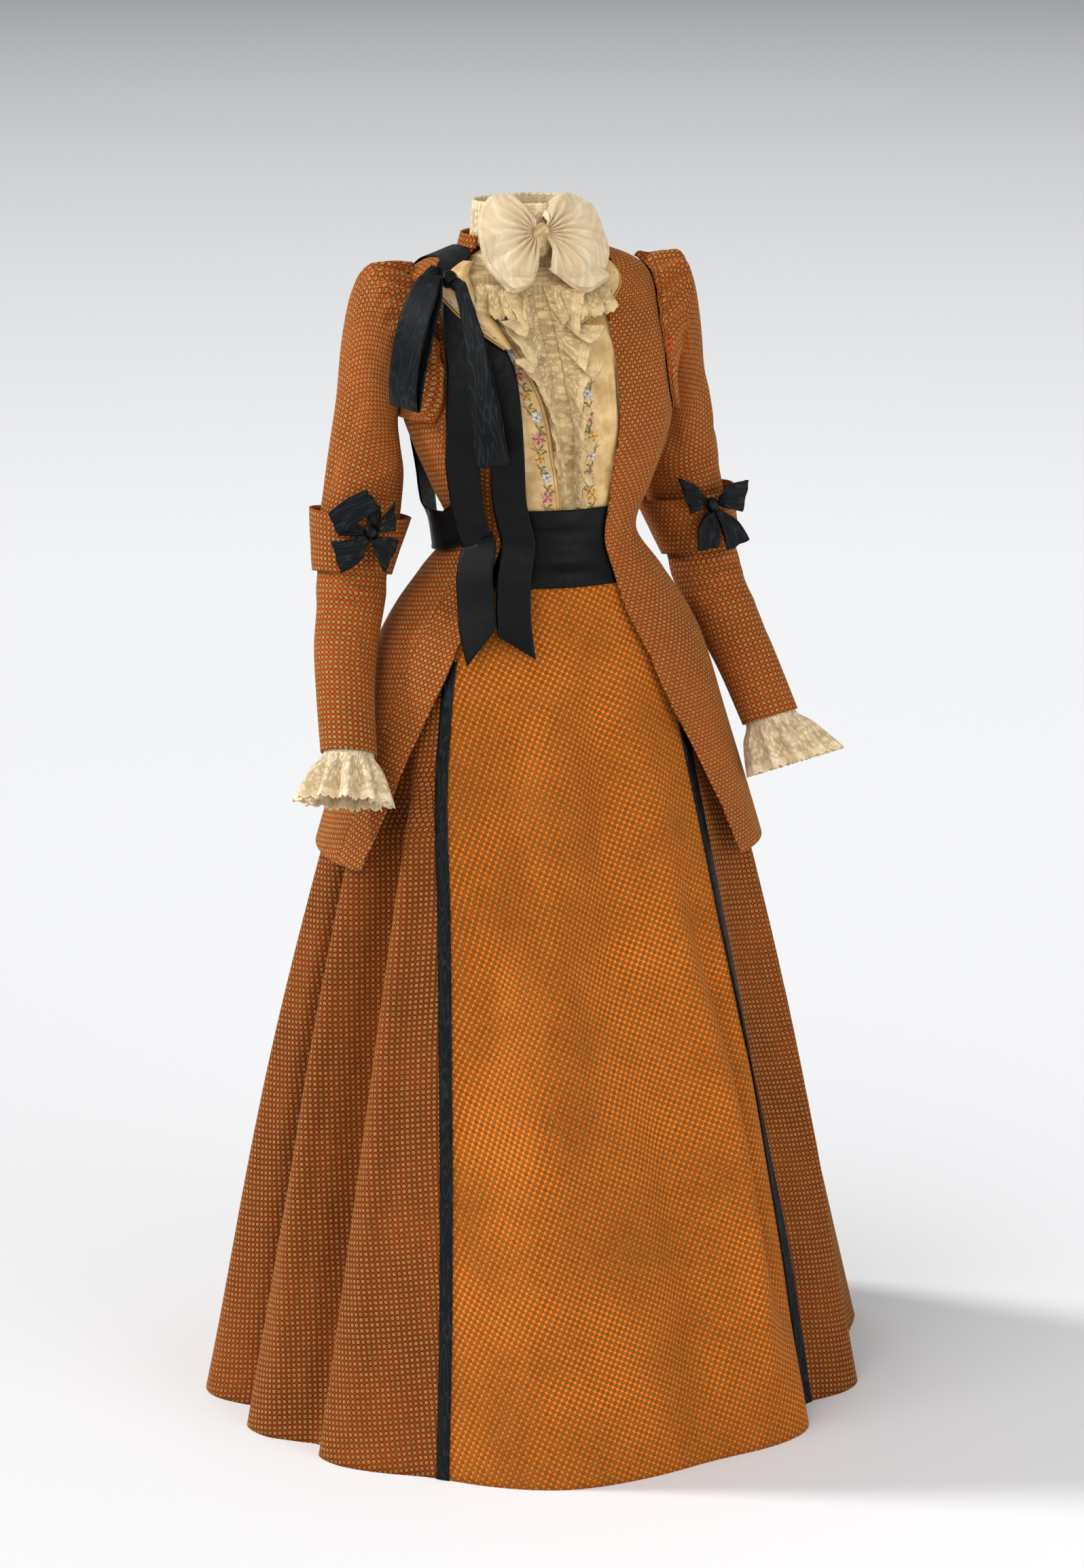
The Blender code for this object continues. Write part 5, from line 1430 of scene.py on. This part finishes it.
# Bows at the elbows. Each loop's way goes out from its knot to a fold and back, in millimetres to the
# right, up and forward, with the ribbon's width and the angle at which its width lies
bowSettings = {
    "knot": (0.0075, 0.0068, 0.0085),
    "row": {left: 5.5, right: 5.6},
    "ease": 0.0112,
    "lift": {left: 0.0079, right: 0.0068},
    "faces": {left: (-0.10, -0.98, 0.12), right: (-0.30, -0.95, 0.12)},
    "gap": 0.0009,
    "crumple": 0.0016,
}
loopColumns = "right up front width lies"
elbowLoops = {
    right: (
        (
            (2, 9, 2, 9, -10), (4, 24, 3, 20, -40), (4, 37, 7, 24, -55), (-20, 25, 12, 29, -63),
            (-41, 11, 9, 28, -71), (-38, 10, 4, 25, -71), (-18, 5, 2, 17, -76), (-9, 2, 1, 8, -80),
        ),
        (
            (-5, -6, 5, 9, -60), (-18, -20, 9, 25, -80), (-40, -25, 6, 37, -78), (-38, -25, 1, 36, -78),
            (-17, -18, 0, 22, -80), (-6, -7, 0, 9, -60),
        ),
        (
            (9, 5, 4, 8, 85), (15, 10, 8, 20, 85), (27, 16, 5, 31, 88), (25, 15, -1, 29, 88),
            (15, 8, -2, 17, 85), (9, 4, -1, 8, 85),
        ),
        (
            (4, -8, 4, 9, -150), (11, -15, 9, 24, -130), (21, -27, 5, 39, -118), (19, -26, -1, 37, -118),
            (10, -14, -2, 20, -130), (4, -8, -1, 9, -150),
        ),
    ),
    left: (
        (
            (-8, 4, 4, 9, -85), (-18, 10, 9, 28, -75), (-33, 12, 7, 43, -72), (-31, 11, 0, 41, -72),
            (-17, 7, -1, 24, -75), (-8, 3, -1, 9, -85),
        ),
        (
            (-3, -9, 5, 8, 0), (-8, -27, 11, 25, 4), (-8, -49, 7, 25, 8), (-8, -47, 1, 24, 8),
            (-8, -26, 0, 20, 4), (-3, -9, -1, 8, 0),
        ),
        (
            (8, 4, 4, 9, -90), (17, 9, 9, 26, -95), (37, 8, 7, 36, -105), (35, 8, 0, 34, -105),
            (17, 6, -1, 22, -95), (8, 3, -1, 9, -90),
        ),
        (
            (6, -8, 4, 7, 30), (18, -24, 8, 20, 26), (28, -47, 5, 28, 22), (27, -45, 0, 26, 22),
            (17, -23, -2, 17, 26), (6, -8, -1, 7, 30),
        ),
    ),
}


def elbowLoop(hub, frame, loop, turnedBy):
    # A ribbon whose middle follows its table and whose width lies at the table's angle, with soft
    # gathers that spread from the knot and a few uneven dents
    s = bowSettings
    last = len(loop) - 1.0
    at = np.linspace(0, last, len(loop) * 9 + 1)
    value = byRow(table(loopColumns, *loop), at)
    x, y, z, width = (value[name] * 0.001 for name in ("right", "up", "front", "width"))
    lies = np.radians(value["lies"])
    middle = hub + np.stack([x, y, z], axis=1) @ frame
    for end in (0, -1):
        middle[end] = offKnot(hub, s["knot"], middle[end], s["gap"])
    side = np.stack([np.cos(lies), np.sin(lies), 0 * lies], axis=1) @ frame
    share = np.linspace(-1, 1, 17)[None, :]
    points = middle[:, None] + side[:, None] * share[..., None] * (width / 2)[:, None, None]
    gathered = np.cos(share * 9.0 + turnedBy) * np.exp(-np.hypot(x, y)[:, None] / 0.016)
    at = at[:, None]
    dented = np.sin(at * 2.3 + share * 2.6 + turnedBy) * np.sin(share * 3.4 - at + turnedBy)
    lift = s["crumple"] * (gathered + 0.75 * dented) * smooth(0, 0.8, at) * smooth(0, 0.8, last - at)
    return points + gridNormals(points) * lift[..., None]


def makeElbowBows():
    # A knot on each arm that faces its own way, and four loops round it
    s = bowSettings
    for side, word in sideNames.items():
        front = unit(np.array(s["faces"][side]))
        up = unit(np.cross(front, (1.0, 0.0, 0.0)))
        frame = np.stack([np.cross(up, front), up, front])
        hub = sleeveRing(side, s["row"][side], 95.0, s["ease"]) + front * s["lift"][side]
        knot = f"elbowKnot_{word}"
        placed(knot, knotMesh(knot, hub, s["knot"], 5), moire, [f"elbow_knot_{word}"])
        for k, loop in enumerate(elbowLoops[side], 1):
            points = elbowLoop(hub, frame, loop, 1.7 * (k - 1) + side)
            node = f"elbow_loop_{word}_{k}"
            cloth(f"elbowLoop_{word}_{k}", points, moire, node)


makeElbowBows()
print("elbow bows made")

# Camera, light and floor
studio = {
    "eye": (-1.8635, -4.8546, 0.98),
    "turn": -21.0,
    "tilt": 13.8,
    "lens": 109.1,
    "film": 36,
    # The floor's far colour is painted shade: the floor is painted darker far away, in place of the light
    # falling off
    "floor": "#ededee",
    "floorFarPaintedShade": "#8d8f91",
    "reach": 60.0,
    "near": 5.0,  # the floor darkens between these two distances
    "far": 22.0,
    "sky": "#f3f5f8",
    "world": 0.44,
    "lights": {  # strength, apparent size in degrees, tilt and turn in degrees
        "broad": (1.35, 60.0, 50.0, -58.0),
        "behind": (2.1, 9.0, 54.0, -122.0),
    },
    "fill": (70, 3.0, (1.8, -4.2, 1.2), 75.0, 23.0),  # power, size, place, tilt and turn
}


def placedIn(scene, name, data, tilt=0.0, turn=0.0, place=(0.0, 0.0, 0.0)):
    # An object of the studio, with its tilt and turn in degrees
    item = bpy.data.objects.new(name, data)
    scene.collection.objects.link(item)
    item.location = place
    item.rotation_euler = (math.radians(tilt), 0, math.radians(turn))
    return item


def makeStudio():
    # Large plain floor, painted darker far away as painted shade for the light falling off, a broad soft
    # light from the front left, a firmer one from behind on the left, and a soft fill from the front
    s = studio
    scene = bpy.context.scene
    scene.view_settings.view_transform = "Standard"
    camera = bpy.data.cameras.new("camera")
    camera.lens, camera.sensor_width = s["lens"], s["film"]
    scene.camera = placedIn(scene, "camera", camera, 90 - s["tilt"], s["turn"], s["eye"])
    mesh = bpy.data.meshes.new("floor")
    corners = [(x * s["reach"], y * s["reach"], hem) for x, y in ((-1, -1), (1, -1), (1, 1), (-1, 1))]
    mesh.from_pydata(corners, [], [(0, 1, 2, 3)])
    material, tree, shader = newMaterial("studioFloor", Roughness=0.75, Specular_IOR_Level=0.2)
    place = addNode(tree, "ShaderNodeTexCoord").outputs["Object"]
    away = vectorWorked(tree, "ADD", place, (0.0, 0.0, -hem))
    distance = vectorWorked(tree, "LENGTH", away, out="Value")
    # Painted shade: the floor's colour darkens with distance from the middle
    share = ranged(tree, distance, s["near"], s["far"], 0.0, 1.0, "LINEAR")
    colour = mixed(tree, share, hexColour(s["floor"]), hexColour(s["floorFarPaintedShade"]))
    tree.links.new(colour, shader.inputs["Base Color"])
    mesh.materials.append(material)
    placedIn(scene, "floor", mesh)
    scene.world = bpy.data.worlds.new("studio")
    scene.world.use_nodes = True
    background = scene.world.node_tree.nodes["Background"].inputs
    background["Color"].default_value = hexColour(s["sky"])
    background["Strength"].default_value = s["world"]
    for name, (strength, size, tilt, turn) in s["lights"].items():
        sun = bpy.data.lights.new(name, "SUN")
        sun.energy, sun.angle = strength, math.radians(size)
        placedIn(scene, name, sun, tilt, turn)
    fill = bpy.data.lights.new("fill", "AREA")
    fill.energy, fill.size, place, tilt, turn = s["fill"]
    placedIn(scene, "fill", fill, tilt, turn, place)


makeStudio()
print("studio made")
